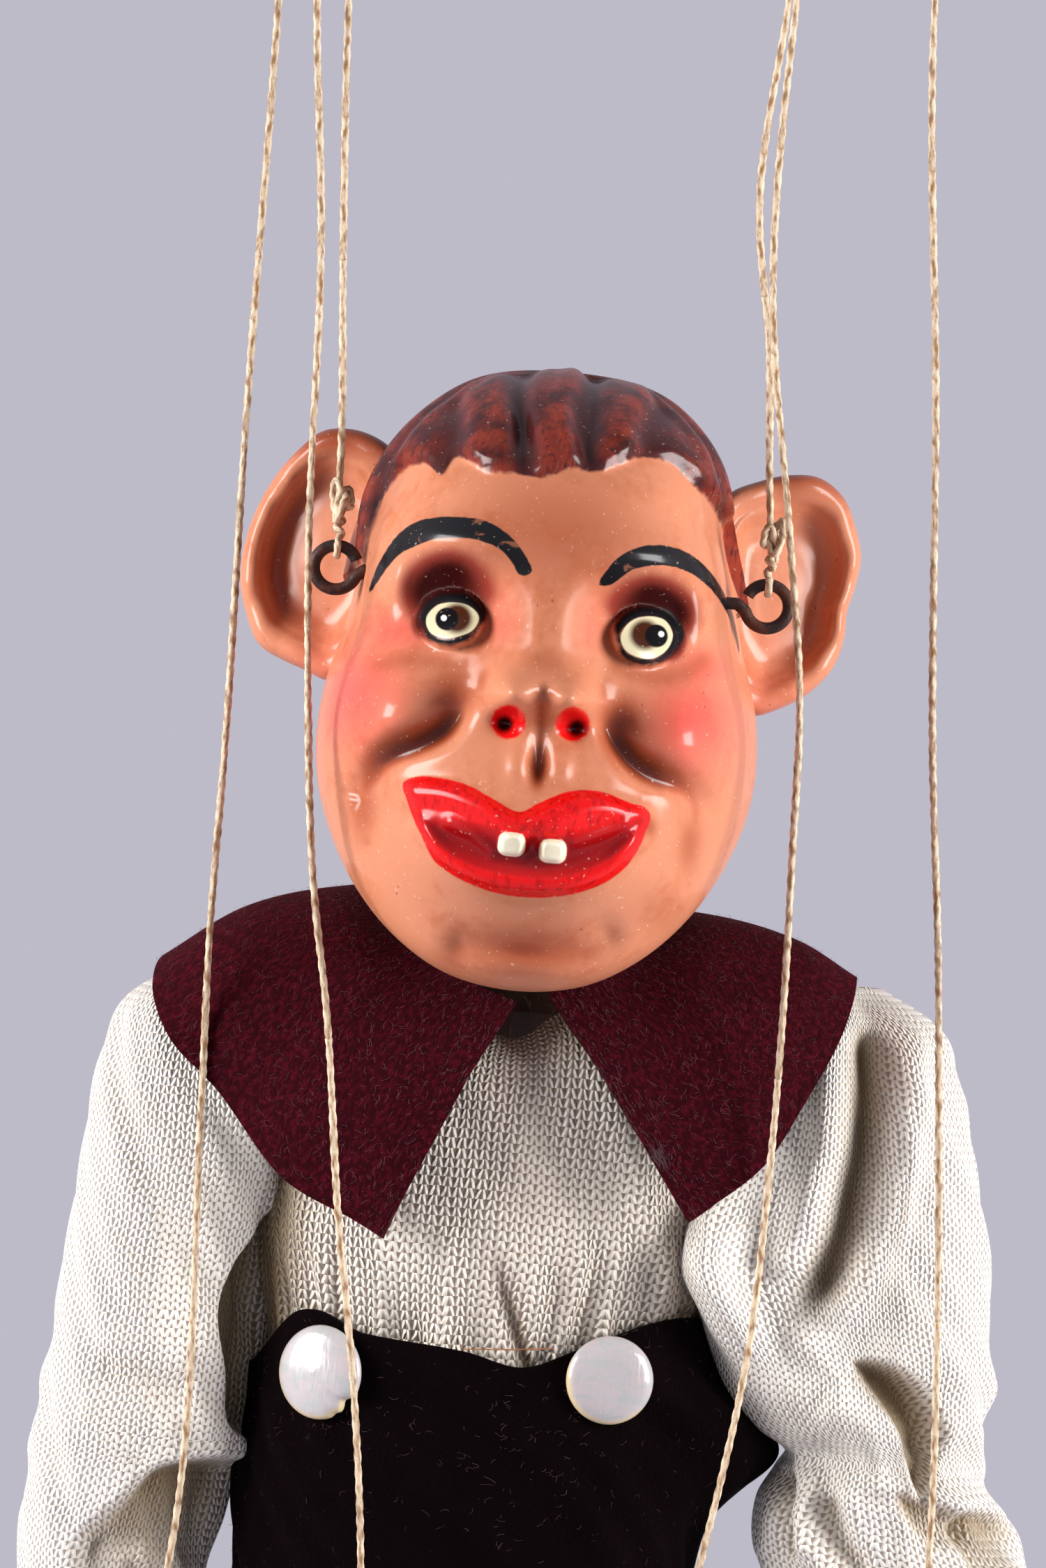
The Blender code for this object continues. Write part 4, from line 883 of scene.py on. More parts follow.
@dataclass(frozen=True)
class Wood(Finish):
    """Oiled beech: rings along the piece, flecks, and handling marks."""

    base: Colour = tint(196, 152, 102)
    dark: Colour = tint(140, 96, 58)
    fleck: Colour = tint(96, 62, 36)
    handled: Colour = tint(110, 78, 50)
    pull: tuple[float, float, float] = (1.0, 0.12, 1.0)

    def looks(self, g: Graph) -> dict[str, object]:
        """Grain on Object coordinates drawn out along the piece."""
        where = g.coords("Object")
        ring, pore = g.group(Effects.grain(), Vector=g.stretch(where, self.pull), Scale=70.0)
        cloud = g.group(Effects.mottle(), Vector=where, Scale=45.0)["Cloud"]
        colour = g.mix(g.fade(ring, 0.3, 0.9, 0.0, 0.6), self.base, self.dark)
        colour = g.mix(pore, colour, self.fleck, 0.6)
        return {
            "Base Color": g.mix(g.fade(cloud, 0.55, 0.8, 0.0, 0.5), colour, self.handled),
            "Roughness": g.fade(cloud, 0.3, 0.7, 0.42, 0.62),
            "Normal": g.bump(pore, 0.0002, 0.5),
        }


@dataclass(frozen=True)
class Metal(Finish):
    """Worn metal: a base colour with patches of another that are rougher."""

    base: Colour = tint(70, 42, 30)
    patch: Colour = tint(112, 62, 36)
    spread: float = 500.0

    def looks(self, g: Graph) -> dict[str, object]:
        """Patches on Object coordinates."""
        cloud = g.group(Effects.mottle(), Vector=g.coords("Object"), Scale=self.spread)["Cloud"]
        mask = g.fade(cloud, 0.48, 0.6)
        return {
            "Base Color": g.mix(mask, self.base, self.patch),
            "Roughness": g.fade(mask, 0.0, 1.0, self.roughness, min(1.0, self.roughness + 0.3)),
            "Normal": g.bump(cloud, 0.0003, 0.6),
        }


@dataclass(frozen=True)
class ShoePaint(Finish):
    """Black gloss paint over carved shoes, scuffed to brown wood at the toes and along the sole."""

    base: Colour = tint(24, 21, 21)
    wood: Colour = tint(122, 82, 52)
    sole: Colour = tint(74, 50, 36)

    def looks(self, g: Graph) -> dict[str, object]:
        """Paint with the wear from the shoe's own mark and noise."""
        cloud = g.group(Effects.mottle(), Vector=g.coords("Object"), Scale=220.0)["Cloud"]
        worn = g.fade(g.math("ADD", g.mark("wear"), g.math("SUBTRACT", cloud, 0.5)), 0.62, 0.86)
        return {
            "Base Color": g.mix(g.mark("sole"), g.mix(worn, self.base, self.wood), self.sole),
            "Roughness": g.fade(worn, 0.0, 1.0, 0.22, 0.6),
            "Normal": g.bump(cloud, 0.0003, 0.4),
        }


class Finishes:
    """Every finish of the puppet, made once."""

    def __init__(self) -> None:
        """Builds all the materials."""
        silky = {"sheen": 0.15, "sheen_roughness": 0.5}
        upright = (1.0, 1.0, 0.1)
        self.face = FacePaint("face_paint", coat=0.46, coat_roughness=0.19, specular=0.05).make()
        self.skin = PlainSkin("peach_paint", coat=0.15).make()
        self.knit = Knit("cream_rayon_knit", specular=0.7, **silky).make()
        # The shirt's knit: larger stitches, with darker and stronger painted shade in the gaps.
        self.open_knit = Knit(
            "open_rayon_knit", specular=0.8, stitch_wide=1.5, stitch_tall=1.3, base=tint(255, 241, 224),
            deep=tint(84, 52, 30), gap_shade=0.88, relief=1.0, **silky,
        ).make()
        self.felt = Nap("wine_wool_felt", roughness=0.95, sheen=0.04, specular=0.08).make()
        self.plush = Nap(
            "dark_cotton_plush", roughness=0.95, sheen=0.03, specular=0.05,
            base=tint(5, 1, 2), raised=tint(14, 3, 5), scale=2600.0, depth=0.0003,
        ).make()
        self.lint = Nap(
            "pale_lint", roughness=0.9, specular=0.2, base=tint(136, 98, 108), raised=tint(186, 160, 162)
        ).make()
        self.twine = Twine("natural_twine", roughness=0.92, specular=0.25).make()
        self.thread = Twine("orange_thread", roughness=0.9, base=tint(180, 112, 62), deep=tint(120, 70, 36)).make()
        self.pearl = Pearl("pearl_button", coat=0.7, coat_roughness=0.06).make()
        self.beech = Wood("oiled_beech", coat=0.1).make()
        self.beech_upright = Wood("limb_beech", pull=upright).make()
        # A near-black wood for the block and neck seen under the chin: painted shade, where the real wood lies in
        # shadow.
        self.shadow_wood = Wood("shadow_dark_beech", base=tint(46, 30, 22), dark=tint(26, 17, 13), pull=upright).make()
        self.beech_cross = Wood("cross_beech", pull=(0.12, 1.0, 1.0), coat=0.1).make()
        self.iron = Metal(
            "rusty_iron", roughness=0.5, metallic=0.4, base=tint(44, 26, 21), patch=tint(84, 46, 32)
        ).make()
        self.steel = Metal(
            "dull_steel", roughness=0.3, metallic=1.0, base=tint(176, 176, 178), patch=tint(140, 136, 132), spread=300.0
        ).make()
        self.shoe = ShoePaint("black_shoe_paint", coat=0.3).make()


@dataclass
class Twines:
    """Six twisted strings from the control, cut where the joints between their ends lie."""

    thickness: float = 1.0
    lay_length: float = 2.1
    step: float = 0.5
    sides: int = 12

    def routes(self) -> dict[str, tuple]:
        """Each string's points from the control down: x, y and level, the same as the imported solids'."""
        top = HANG - STRING_DROP
        return {
            "head_string_left": ((-34.0, 0.0, top), (-34.5, -6.0, 500.0), (-33.3, -12.0, 425.5), (-30.9, -16.5, 392.5),
                                 (-28.9, -17.8, 368.0), (-28.5, -18.0, 357.3)),
            "head_string_right": ((34.0, 0.0, top), (29.0, -6.0, 500.0), (24.0, -11.0, 430.7), (22.6, -14.0, 405.0),
                                  (25.7, -16.5, 384.8), (27.0, -17.6, 370.0), (28.4, -18.0, 357.3)),
            "leg_string_left": ((-41.0, 0.0, top), (-39.5, -8.0, 500.0), (-37.3, -14.5, 425.0), (-34.0, -20.0, 396.0),
                                (-31.8, -24.0, 354.6), (-30.0, -25.5, 334.5), (-27.2, -25.0, 311.3),
                                (-24.1, -24.0, 295.4), (-20.1, -22.6, 268.3), (-16.1, -22.2, 246.3),
                                (-13.2, -21.0, 224.2), (-12.5, -16.5, 170.0), (-12.5, -11.4, 132.8),
                                (-12.5, -7.8, 126.2)),
            "leg_string_right": ((41.0, 0.0, top), (32.0, -8.0, 500.0), (25.0, -14.0, 430.7), (25.4, -19.0, 392.0),
                                 (30.2, -24.0, 362.0), (33.3, -25.5, 341.4), (34.3, -23.5, 319.9), (35.0, -20.5, 301.7),
                                 (35.2, -19.5, 279.4), (34.4, -21.0, 255.0), (30.8, -21.5, 228.2), (20.5, -17.0, 175.0),
                                 (13.6, -11.4, 132.8), (12.5, -7.8, 126.2)),
            "hand_string_left": ((-48.0, 0.0, top), (-45.0, -7.0, 500.0), (-42.5, -11.5, 424.6), (-41.7, -14.0, 370.0),
                                 (-40.6, -14.5, 328.4), (-40.4, -13.0, 303.0), (-39.5, -11.8, 280.8),
                                 (-38.3, -10.5, 221.9), (-40.8, -6.6, 203.0), (-41.5, -4.6, 192.4)),
            "hand_string_right": ((48.0, 0.0, top), (45.5, -7.0, 500.0), (43.2, -11.5, 432.4), (48.0, -14.5, 380.0),
                                  (52.0, -15.0, 331.7), (54.5, -14.0, 311.6), (56.5, -13.0, 291.5),
                                  (59.1, -12.5, 261.3), (60.8, -11.8, 231.0), (60.6, -8.4, 207.5), (60.4, -4.8, 195.0)),
        }

    def twisted(self, path: Array) -> Surface:
        """The string's skin: a ring whose radius is greatest at two opposite plies, which turn along the path."""
        run = run_along(path)
        ply = np.abs(np.cos(turns(self.sides)[None, :] - FULL_TURN * run[:, None] / (2.0 * self.lay_length)))
        loose = 1.0 + 0.07 * wander(run / 9.0, 5)[:, None]
        made = tube(path, 0.5 * self.thickness * (0.74 + 0.28 * ply) * loose, self.sides, (0.0, 1.0, 0.0))
        made.marks["ply"] = ply
        return made

    def build(self, finishes: Finishes, knots: dict[str, list]) -> None:
        """Makes the strings, each cut where the joints that it passes lie.

        A row of a plan gives the end of the piece's name, the level of the cut below it or None at the string's end,
        the two bodies it hangs between, and the levels where the blend from one to the other starts and ends.

        Args:
            finishes: The puppet's finishes.
            knots: The knot pieces at each string's lower end, by the string's name; not used.
        """
        plans = {
            "head_string": (
                ("upper", 393.0, ("torso", "neck"), (560.0, 393.0)),
                ("lower", None, ("neck", "head"), (393.0, 360.0)),
            ),
            "hand_string": (
                ("upper", 262.0, ("torso", "upper_arm"), SHOULDER_SPAN),
                ("lower", None, ("upper_arm", "forearm"), (236.0, 214.0)),
            ),
            "leg_string": (
                ("upper", 345.0, ("torso", "neck"), (440.0, 350.0)),
                ("middle", 292.0, ("neck", "torso"), (326.0, 296.0)),
                ("lower", None, ("torso", "thigh"), (205.0, 126.0)),
            ),
        }
        for name, route in self.routes().items():
            kind, side = name.rsplit("_", 1)
            path = trace(route, self.step)
            begin = 0
            for word, cut, between, span in plans[kind]:
                last = cut is None
                stop = len(path) if last else int(np.argmax(path[:, 2] < cut)) + 1
                part = path[begin:stop]
                begin = stop - 1
                piece = add_piece(f"{name}_{word}", self.twisted(part), finishes.twine, node=name)
                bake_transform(piece)


@dataclass
class ScrewEye:
    """A bent wire ring with its shank, and the knot of twine tied through it."""

    name: str
    middle: tuple[float, float, float]
    inward: tuple[float, float, float]
    radius: float
    wire: float
    shank: float
    body: str
    knot_size: float
    knot_step: float = 0.3
    knot_lay: float = 1.6
    knot_sides: int = 10

    def wire_path(self) -> Array:
        """The wire: most of a circle from beside the shank, then a bend and the shank straight inwards."""
        into = np.array(self.inward)
        angle = np.radians(np.linspace(24.0, 340.0, 44))[:, None]
        ring = self.radius * (np.cos(angle) * into + np.sin(angle) * UP)
        beside = (self.radius + 0.5 * self.wire) * into - 0.16 * self.radius * UP
        bend = np.array([beside, (self.radius + 1.3 * self.wire) * into])
        deep = (self.radius + np.linspace(2.0 * self.wire, self.shank, 6))[:, None] * into
        return trace(np.concatenate([ring, bend, deep]), 0.25) + np.array(self.middle)

    def knot_path(self) -> Array:
        """The knot's cord: a loop round the ring's top, two strands twisted upwards, then a drawn-up overhand knot.

        The overhand knot is a trefoil: x is sin t + 2 sin 2t, y is 0.9 times cos t - 2 cos 2t, and the height is
        -sin 3t plus 0.62 cos t, which tilts it.
        """
        into, size = np.array(self.inward), self.knot_size
        out = np.cross(UP, into)
        grip = self.wire + 0.5
        swing = np.linspace(-0.2 * math.pi, 1.2 * math.pi, 24)[:, None]
        loop = (self.radius - grip * np.sin(swing)) * UP + grip * np.cos(swing) * out
        rise = np.linspace(0.15, 1.0, 40)[:, None]
        turn = FULL_TURN * 1.5 * rise
        start = self.radius + grip
        strands = 0.42 * (np.cos(turn) * out + np.sin(turn) * into) + (start + 1.6 * size * rise) * UP
        t = np.linspace(0.0, FULL_TURN, 90)[:, None]
        flat = (np.sin(t) + 2.0 * np.sin(2.0 * t)) * into + 0.9 * (np.cos(t) - 2.0 * np.cos(2.0 * t)) * out
        height = start + 3.0 * size + 1.15 * size * (0.62 * np.cos(t) - np.sin(3.0 * t))
        knot = 0.30 * size * flat + height * UP
        return trace(np.concatenate([loop, strands, knot]), self.knot_step) + np.array(self.middle)

    def build(self, finishes: Finishes) -> list:
        """Makes the eye and its knot, and returns the knot."""
        hint = tuple(np.cross(np.array(self.inward), UP))
        eye = tube(self.wire_path(), np.array(self.wire), 14, hint)
        add_piece(self.name, eye, finishes.iron, node=self.name, body=self.body)
        path = self.knot_path()
        run = np.linspace(0.0, len(path) * self.knot_step / self.knot_lay, len(path))
        ply = np.abs(np.cos(turns(self.knot_sides)[None, :] - math.pi * run[:, None]))
        skin = tube(path, 0.5 * (0.7 + 0.35 * ply), self.knot_sides, (0.13, 0.21, 0.97))
        skin.marks["ply"] = ply
        return [add_piece(f"{self.name}_knot", skin, finishes.twine, body=self.body)]


BROW_LEFT = ((-23.5, 349.6), (-22.9, 352.7), (-21.5, 355.7), (-20.0, 357.8), (-17.9, 359.3), (-15.1, 360.0),
             (-11.7, 360.2), (-8.9, 359.9), (-6.5, 358.7), (-4.3, 356.7), (-2.8, 353.7), (-4.0, 353.3), (-5.3, 354.9),
             (-6.9, 356.4), (-8.6, 357.1), (-10.9, 357.5), (-13.2, 357.4), (-15.4, 357.1), (-17.6, 356.2),
             (-19.7, 355.0), (-21.5, 352.8), (-22.7, 350.8))
BROW_RIGHT = ((6.0, 353.1), (6.6, 354.6), (7.8, 356.4), (9.7, 357.9), (12.1, 358.8), (14.9, 358.9), (17.8, 358.1),
              (20.3, 356.4), (22.4, 354.0), (23.8, 351.6), (24.8, 348.9), (25.3, 346.1), (24.3, 348.8), (23.3, 351.0),
              (21.7, 353.1), (19.5, 354.9), (17.2, 356.0), (14.6, 356.4), (11.8, 356.0), (9.6, 355.1), (8.1, 353.6),
              (6.7, 353.0))
EYE_LEFT = ((-15.7, 346.7), (-14.4, 348.7), (-12.3, 349.2), (-10.1, 348.8), (-8.9, 347.6), (-9.4, 346.0),
            (-11.0, 345.0), (-13.2, 344.5), (-15.0, 345.1))
EYE_RIGHT = ((9.4, 346.6), (10.6, 348.9), (12.6, 349.7), (15.0, 349.4), (16.1, 347.8), (15.6, 345.8), (13.9, 344.4),
             (11.8, 344.3), (10.1, 345.1))
LIPS = ((-16.7, 325.6), (-14.9, 326.5), (-12.1, 326.6), (-8.6, 326.1), (-5.7, 324.9), (-2.7, 323.5), (-1.9, 323.2),
        (1.1, 324.7), (3.8, 326.1), (6.6, 326.8), (9.4, 326.6), (12.3, 325.7), (14.9, 324.9), (15.3, 324.3),
        (14.9, 322.3), (13.8, 319.1), (12.0, 316.6), (9.4, 314.7), (6.1, 313.3), (2.2, 312.5), (-1.7, 312.4),
        (-5.7, 313.1), (-9.3, 314.4), (-11.7, 315.9), (-13.6, 318.8), (-15.0, 321.2), (-16.0, 323.4))
MOUTH = ((-14.6, 322.0), (-13.3, 322.0), (-9.9, 321.5), (-6.5, 321.3), (-3.0, 320.5), (-0.2, 320.2), (2.6, 320.3),
         (6.0, 321.1), (9.2, 322.2), (12.5, 323.4), (14.7, 324.0), (13.8, 321.9), (11.7, 319.4), (9.1, 317.5),
         (5.9, 315.8), (2.0, 314.9), (-1.4, 315.0), (-6.0, 315.6), (-9.5, 316.9), (-12.5, 318.9))
LOWER_LIP = ((-13.5, 319.6), (-10.8, 316.6), (-6.5, 314.5), (0.3, 313.7), (6.4, 314.6), (10.6, 316.7), (13.6, 320.6))
UPPER_LIP = ((-15.3, 324.4), (-11.5, 324.6), (-7.0, 323.6), (-2.0, 321.9), (2.5, 322.6), (7.5, 324.5), (13.6, 324.5))
FOLD_LEFT = ((-8.6, 339.1), (-9.6, 336.7), (-12.0, 332.5), (-15.2, 330.4), (-17.9, 329.1), (-19.9, 327.6),
             (-21.0, 325.8), (-21.5, 323.2), (-21.4, 320.7), (-20.8, 317.6))
FOLD_RIGHT = ((7.3, 338.8), (8.3, 336.1), (9.9, 333.1), (12.4, 330.5), (15.4, 329.1), (18.0, 328.6), (19.7, 327.8),
              (20.9, 326.2), (21.2, 324.3), (21.0, 322.3))
GUM_LEFT = ((-10.2, 321.0), (-7.2, 319.9), (-4.4, 318.0))
GUM_RIGHT = ((5.8, 320.2), (8.8, 321.4), (12.2, 322.9))
BAG_LEFT = ((-21.5, 340.4), (-19.0, 341.2), (-16.3, 341.6), (-12.8, 341.4), (-10.0, 340.9))
BAG_RIGHT = ((9.0, 342.9), (11.9, 342.2), (14.8, 342.2), (18.1, 343.2), (20.2, 344.8))
CHIN_CREASE = ((-7.0, 305.3), (-3.3, 304.8), (0.7, 304.8), (5.1, 305.4), (8.4, 306.4), (10.8, 308.1))
FRINGE = ((-26.2, 350.4), (-25.0, 353.9), (-24.0, 358.6), (-22.7, 362.6), (-21.2, 365.0), (-17.4, 366.9),
          (-15.6, 365.5), (-13.6, 368.0), (-11.8, 367.5), (-9.5, 366.4), (-6.1, 366.4), (-2.1, 366.2), (1.2, 367.6),
          (5.1, 367.7), (7.3, 368.9), (9.7, 370.0), (13.9, 369.8), (17.0, 367.4), (20.0, 364.8), (22.0, 361.6),
          (23.2, 358.3), (24.9, 354.6), (26.4, 349.8))
EAR_LEFT = ((-22.7, 369.1), (-27.4, 370.8), (-31.3, 370.3), (-34.4, 367.5), (-38.4, 361.2), (-40.3, 354.2),
            (-40.3, 349.7), (-39.2, 345.9), (-37.2, 342.1), (-33.6, 340.2), (-31.0, 339.3), (-28.0, 338.2),
            (-22.5, 343.0), (-20.5, 355.0))
EAR_RIGHT = ((22.4, 367.3), (25.3, 368.7), (29.2, 370.0), (33.7, 370.0), (36.7, 368.0), (38.7, 364.3), (39.8, 360.4),
             (39.4, 356.4), (38.6, 353.0), (38.6, 350.1), (37.6, 346.1), (34.8, 342.4), (30.3, 339.5), (28.0, 338.6),
             (22.5, 343.0), (20.5, 355.0))

# The face's paired bumps from the brow down: height, x at the left and at the right, level, spread across, up and down.
PAIRED_BUMPS = (
    (2.4, -14.5, 14.5, 357.0, 8.5, 3.2, 3.0),
    (1.9, -20.4, 19.4, 351.4, 2.3, 3.6, 3.8),
    (-5.6, -12.8, 12.8, 349.2, 6.9, 5.2, 4.9),
    (4.6, -4.3, 4.3, 338.0, 2.6, 2.8, 2.4),
    (-3.0, -4.1, 4.1, 334.7, 1.8, 1.6, 1.6),
    (5.2, -20.2, 20.2, 334.2, 6.2, 6.6, 5.4),
    (0.7, -2.4, 3.4, 329.4, 1.3, 3.0, 2.4),
    (-1.2, -23.0, 23.0, 321.5, 2.6, 5.0, 6.0),
)
# The bumps and hollows along the face's middle, with one x each.
MIDDLE_BUMPS = (
    (2.2, 0.0, 345.0, 4.6, 8.0, 6.0),
    (5.6, 0.0, 338.2, 4.8, 4.2, 3.0),
    (-1.6, 0.2, 336.5, 1.4, 4.0, 5.0),
    (-1.5, 0.4, 329.0, 1.3, 3.2, 2.4),
    (5.0, 0.3, 321.0, 15.0, 9.5, 9.0),
    (-1.1, 0.55, 319.0, 0.8, 1.6, 1.6),
    (3.0, 0.8, 302.5, 8.5, 3.0, 6.0),
)


@dataclass
class Head:
    """The moulded head: an egg with a wide jaw, sculpted in the front view and marked for its paint."""

    crown: float = 380.1
    chin: float = 300.0
    columns: int = 330
    rows: int = 290
    squareness: float = 2.15

    def grid(self) -> tuple[Array, Array]:
        """Angles round the head, closer together in front, and down it from crown to chin, closer on the face."""
        s = np.linspace(-1.0, 1.0, self.columns, endpoint=False)
        around = math.pi * (0.45 * s + 0.55 * s**3)
        share = np.linspace(0.004, 0.996, self.rows)
        down = np.interp(share, [0.0, 0.16, 0.86, 1.0], np.radians([0.0, 52.0, 152.0, 180.0]))
        return np.meshgrid(around, down)

    def egg(self, around: Array, down: Array) -> Array:
        """The plain head: at each angle down, half width and the front and back depths come from smooth curves.

        The right temple is narrower than the left by up to a tenth.
        """
        degrees = np.degrees(down)
        wide = curve_at(degrees, (0, 13.5, 30.4, 48.5, 65, 79.9, 94.3, 103, 112, 122, 132.5, 139.2, 154.2, 169.3, 180),
                        (0, 9.2, 16.6, 22.6, 25.2, 26.2, 28.6, 29.0, 28.3, 26.2, 23.0, 20.5, 14.0, 6.6, 0))
        knots = (0, 25.8, 41.4, 60, 75.5, 90, 104.5, 116.7, 128.7, 139.2, 154.2, 167, 180)
        front = curve_at(degrees, knots, (0, -17, -26, -33, -35, -34.5, -34.5, -34, -33, -31, -27.5, -22, -16))
        back = curve_at(degrees, knots, (0, 15, 23, 31, 34.5, 34.5, 31, 25, 17, 8, -3, -10, -16))
        s, c = np.sin(around), np.cos(around)
        power = 2.0 / self.squareness
        level = (self.crown + self.chin) / 2 + (self.crown - self.chin) / 2 * np.cos(down)
        wide = wide * (1.0 - 0.10 * bell(level - 361.0, 11.0) * (s > 0))
        x = wide * np.sign(s) * np.abs(s) ** power
        y = (front + back) / 2 - (back - front) / 2 * np.sign(c) * np.abs(c) ** power
        return np.stack([x, y, level], axis=2)

    def relief(self, x: Array, z: Array, gaps: dict[str, Array]) -> Array:
        """How far the face stands out over the egg in the front view: bumps added, creases and hollows taken off.

        Args:
            x: Places across the face.
            z: Levels.
            gaps: Distances to the face's outlines and creases.

        Returns:
            Millimetres forward.
        """
        out = np.zeros(x.shape)
        pairs = [(height, at, *rest) for height, left, right, *rest in PAIRED_BUMPS for at in (left, right)]
        for height, at, level, wide, up, down in (*pairs, *MIDDLE_BUMPS):
            out += height * hump(x, z, (at, level), wide, up, down)
        for at in (-12.5, 12.5):
            eyeball = ((x - at) / 4.5) ** 2 + ((z - 347.1) / 3.9) ** 2
            out += 4.2 * np.sqrt(np.clip(1.0 - eyeball, 0.0, 1.0))
        out += 0.35 * bell(gaps["eye"] - 0.6, 0.7)
        out -= 2.4 * bell(gaps["fold"], 1.5 + step_up(gaps["cheek"], -0.5, 0.5)) * gaps["fold_taper"]
        ridges = {
            "gum": (0.8, 0.9), "bag": (-0.35, 1.6), "chin": (-1.5, 2.3), "upper_lip": (1.0, 1.5),
            "lower_lip": (1.7, 1.9),
        }
        for word, (height, spread) in ridges.items():
            out += height * bell(gaps[word], spread)
        levels = {"lips": (1.0, 0.15, -1.3), "mouth": (-0.8, 0.4, -2.4), "tooth": (2.3, 0.12, -0.55)}
        for word, (height, edge, inside) in levels.items():
            out += height * step_up(gaps[word], edge, inside)
        return out

    def hair_depth(self, x: Array, z: Array, around: Array) -> Array:
        """How far inside the hair a place is: from the fringe's outline in front, from the nape's level behind."""
        beyond = ((40.0, 350.0), (46.0, 380.0), (0.0, 420.0), (-46.0, 380.0), (-40.0, 350.0))
        front = -outline_gap(x, z, FRINGE + beyond)
        nape = curve_at(np.abs(around), (1.55, 1.75, 2.2, 2.5, math.pi), (352.0, 350.0, 334.0, 326.0, 324.0))
        return np.where(np.cos(around) > 0.0, front, z - nape)

    def hair_waves(self, x: Array, z: Array, around: Array, down: Array) -> Array:
        """The hair's ridges, 0 in a groove and 1 on a crest.

        In front they are upright folds 9 mm apart that sway with the level, each with a finer one beside it. Round
        the sides and back they follow the angle and die out towards the crown.
        """
        sway = x + 1.1 * np.sin((z - 371.0) / 2.7 + 0.12 * x) + 0.6 * np.sin(x / 4.0)
        fore = 0.5 + 0.36 * np.cos(FULL_TURN * (sway + 1.15) / 9.1) + 0.14 * np.cos(FULL_TURN * (sway - 0.6) / 4.4)
        aft = 0.5 + 0.5 * np.sin(17.0 * around + 1.6 * np.sin(3.0 * down)) * np.sin(down)
        share = step_up(np.cos(around), 0.25, 0.7)
        return np.clip(aft + (fore - aft) * share, 0.0, 1.0)

    def shape(self) -> Surface:
        """The head's grid with every mark: egg, then relief on the face, then hair raised along the normals."""
        around, down = self.grid()
        p = self.egg(around, down)
        x, z = p[..., 0], p[..., 2]
        front = step_up(np.cos(around), 0.0, 0.5)
        far = np.where(np.cos(around) > 0.0, 0.0, 60.0)
        gaps = {
            "brow": np.minimum(*(outline_gap(x, z, brow, 0.7) for brow in (BROW_LEFT, BROW_RIGHT))),
            "eye": np.minimum(*(outline_gap(x, z, eye) for eye in (EYE_LEFT, EYE_RIGHT))),
            "lips": outline_gap(x, z, LIPS, 0.7),
            "mouth": outline_gap(x, z, MOUTH, 0.7),
            "tooth": self.teeth(x, z),
            "lower_lip": nearest(x, z, 0.7, LOWER_LIP),
            "upper_lip": nearest(x, z, 0.7, UPPER_LIP),
            "bag": nearest(x, z, 0.8, BAG_LEFT, BAG_RIGHT),
            "chin": nearest(x, z, 0.8, CHIN_CREASE),
            "gum": nearest(x, z, 0.6, GUM_LEFT, GUM_RIGHT),
            "fold": nearest(x, z, 0.7, FOLD_LEFT, FOLD_RIGHT),
        }
        gaps = {word: gap + far for word, gap in gaps.items()}
        share = self.fold_share(x, z)
        gaps["fold_taper"] = step_up(share, 0.0, 0.2) * step_up(share, 1.0, 0.75)
        over = [np.interp(np.abs(x), *np.abs(fold).T) for fold in (FOLD_LEFT[:8], FOLD_RIGHT[:9])]
        gaps["cheek"] = z - np.where(x < 0, *over)
        y_out = self.relief(x, z, gaps) * front
        hair = self.hair_depth(x, z, around)
        mask = step_up(hair, -0.2, 0.9)
        wave = self.hair_waves(x, z, around, down)
        deep = hump(x, z, (-5.9, 371.0), 1.5, 4.0) + hump(x, z, (3.6, 374.0), 1.2, 4.0)
        lift = mask * (0.35 + 1.7 * wave - 1.1 * deep * front)
        p[..., 1] -= y_out
        p = p + lift[..., None] * -normals_of(p)
        p[..., 1] += HEAD_Y

        def spots(*places: tuple[float, float, float, float, float]) -> Array:
            """The strongest of several soft spots on the face: strength, x, level, spread across and up."""
            return np.max([k * hump(x, z, (cx, cz), sx, sz) for k, cx, cz, sx, sz in places], axis=0) * front

        def rounds(*places: tuple[float, float, float]) -> Array:
            """The distance to the nearest of several places on the face: x, level and how much wider than tall."""
            return np.min([np.hypot((x - cx) / wide, z - cz) for cx, cz, wide in places], axis=0) + far
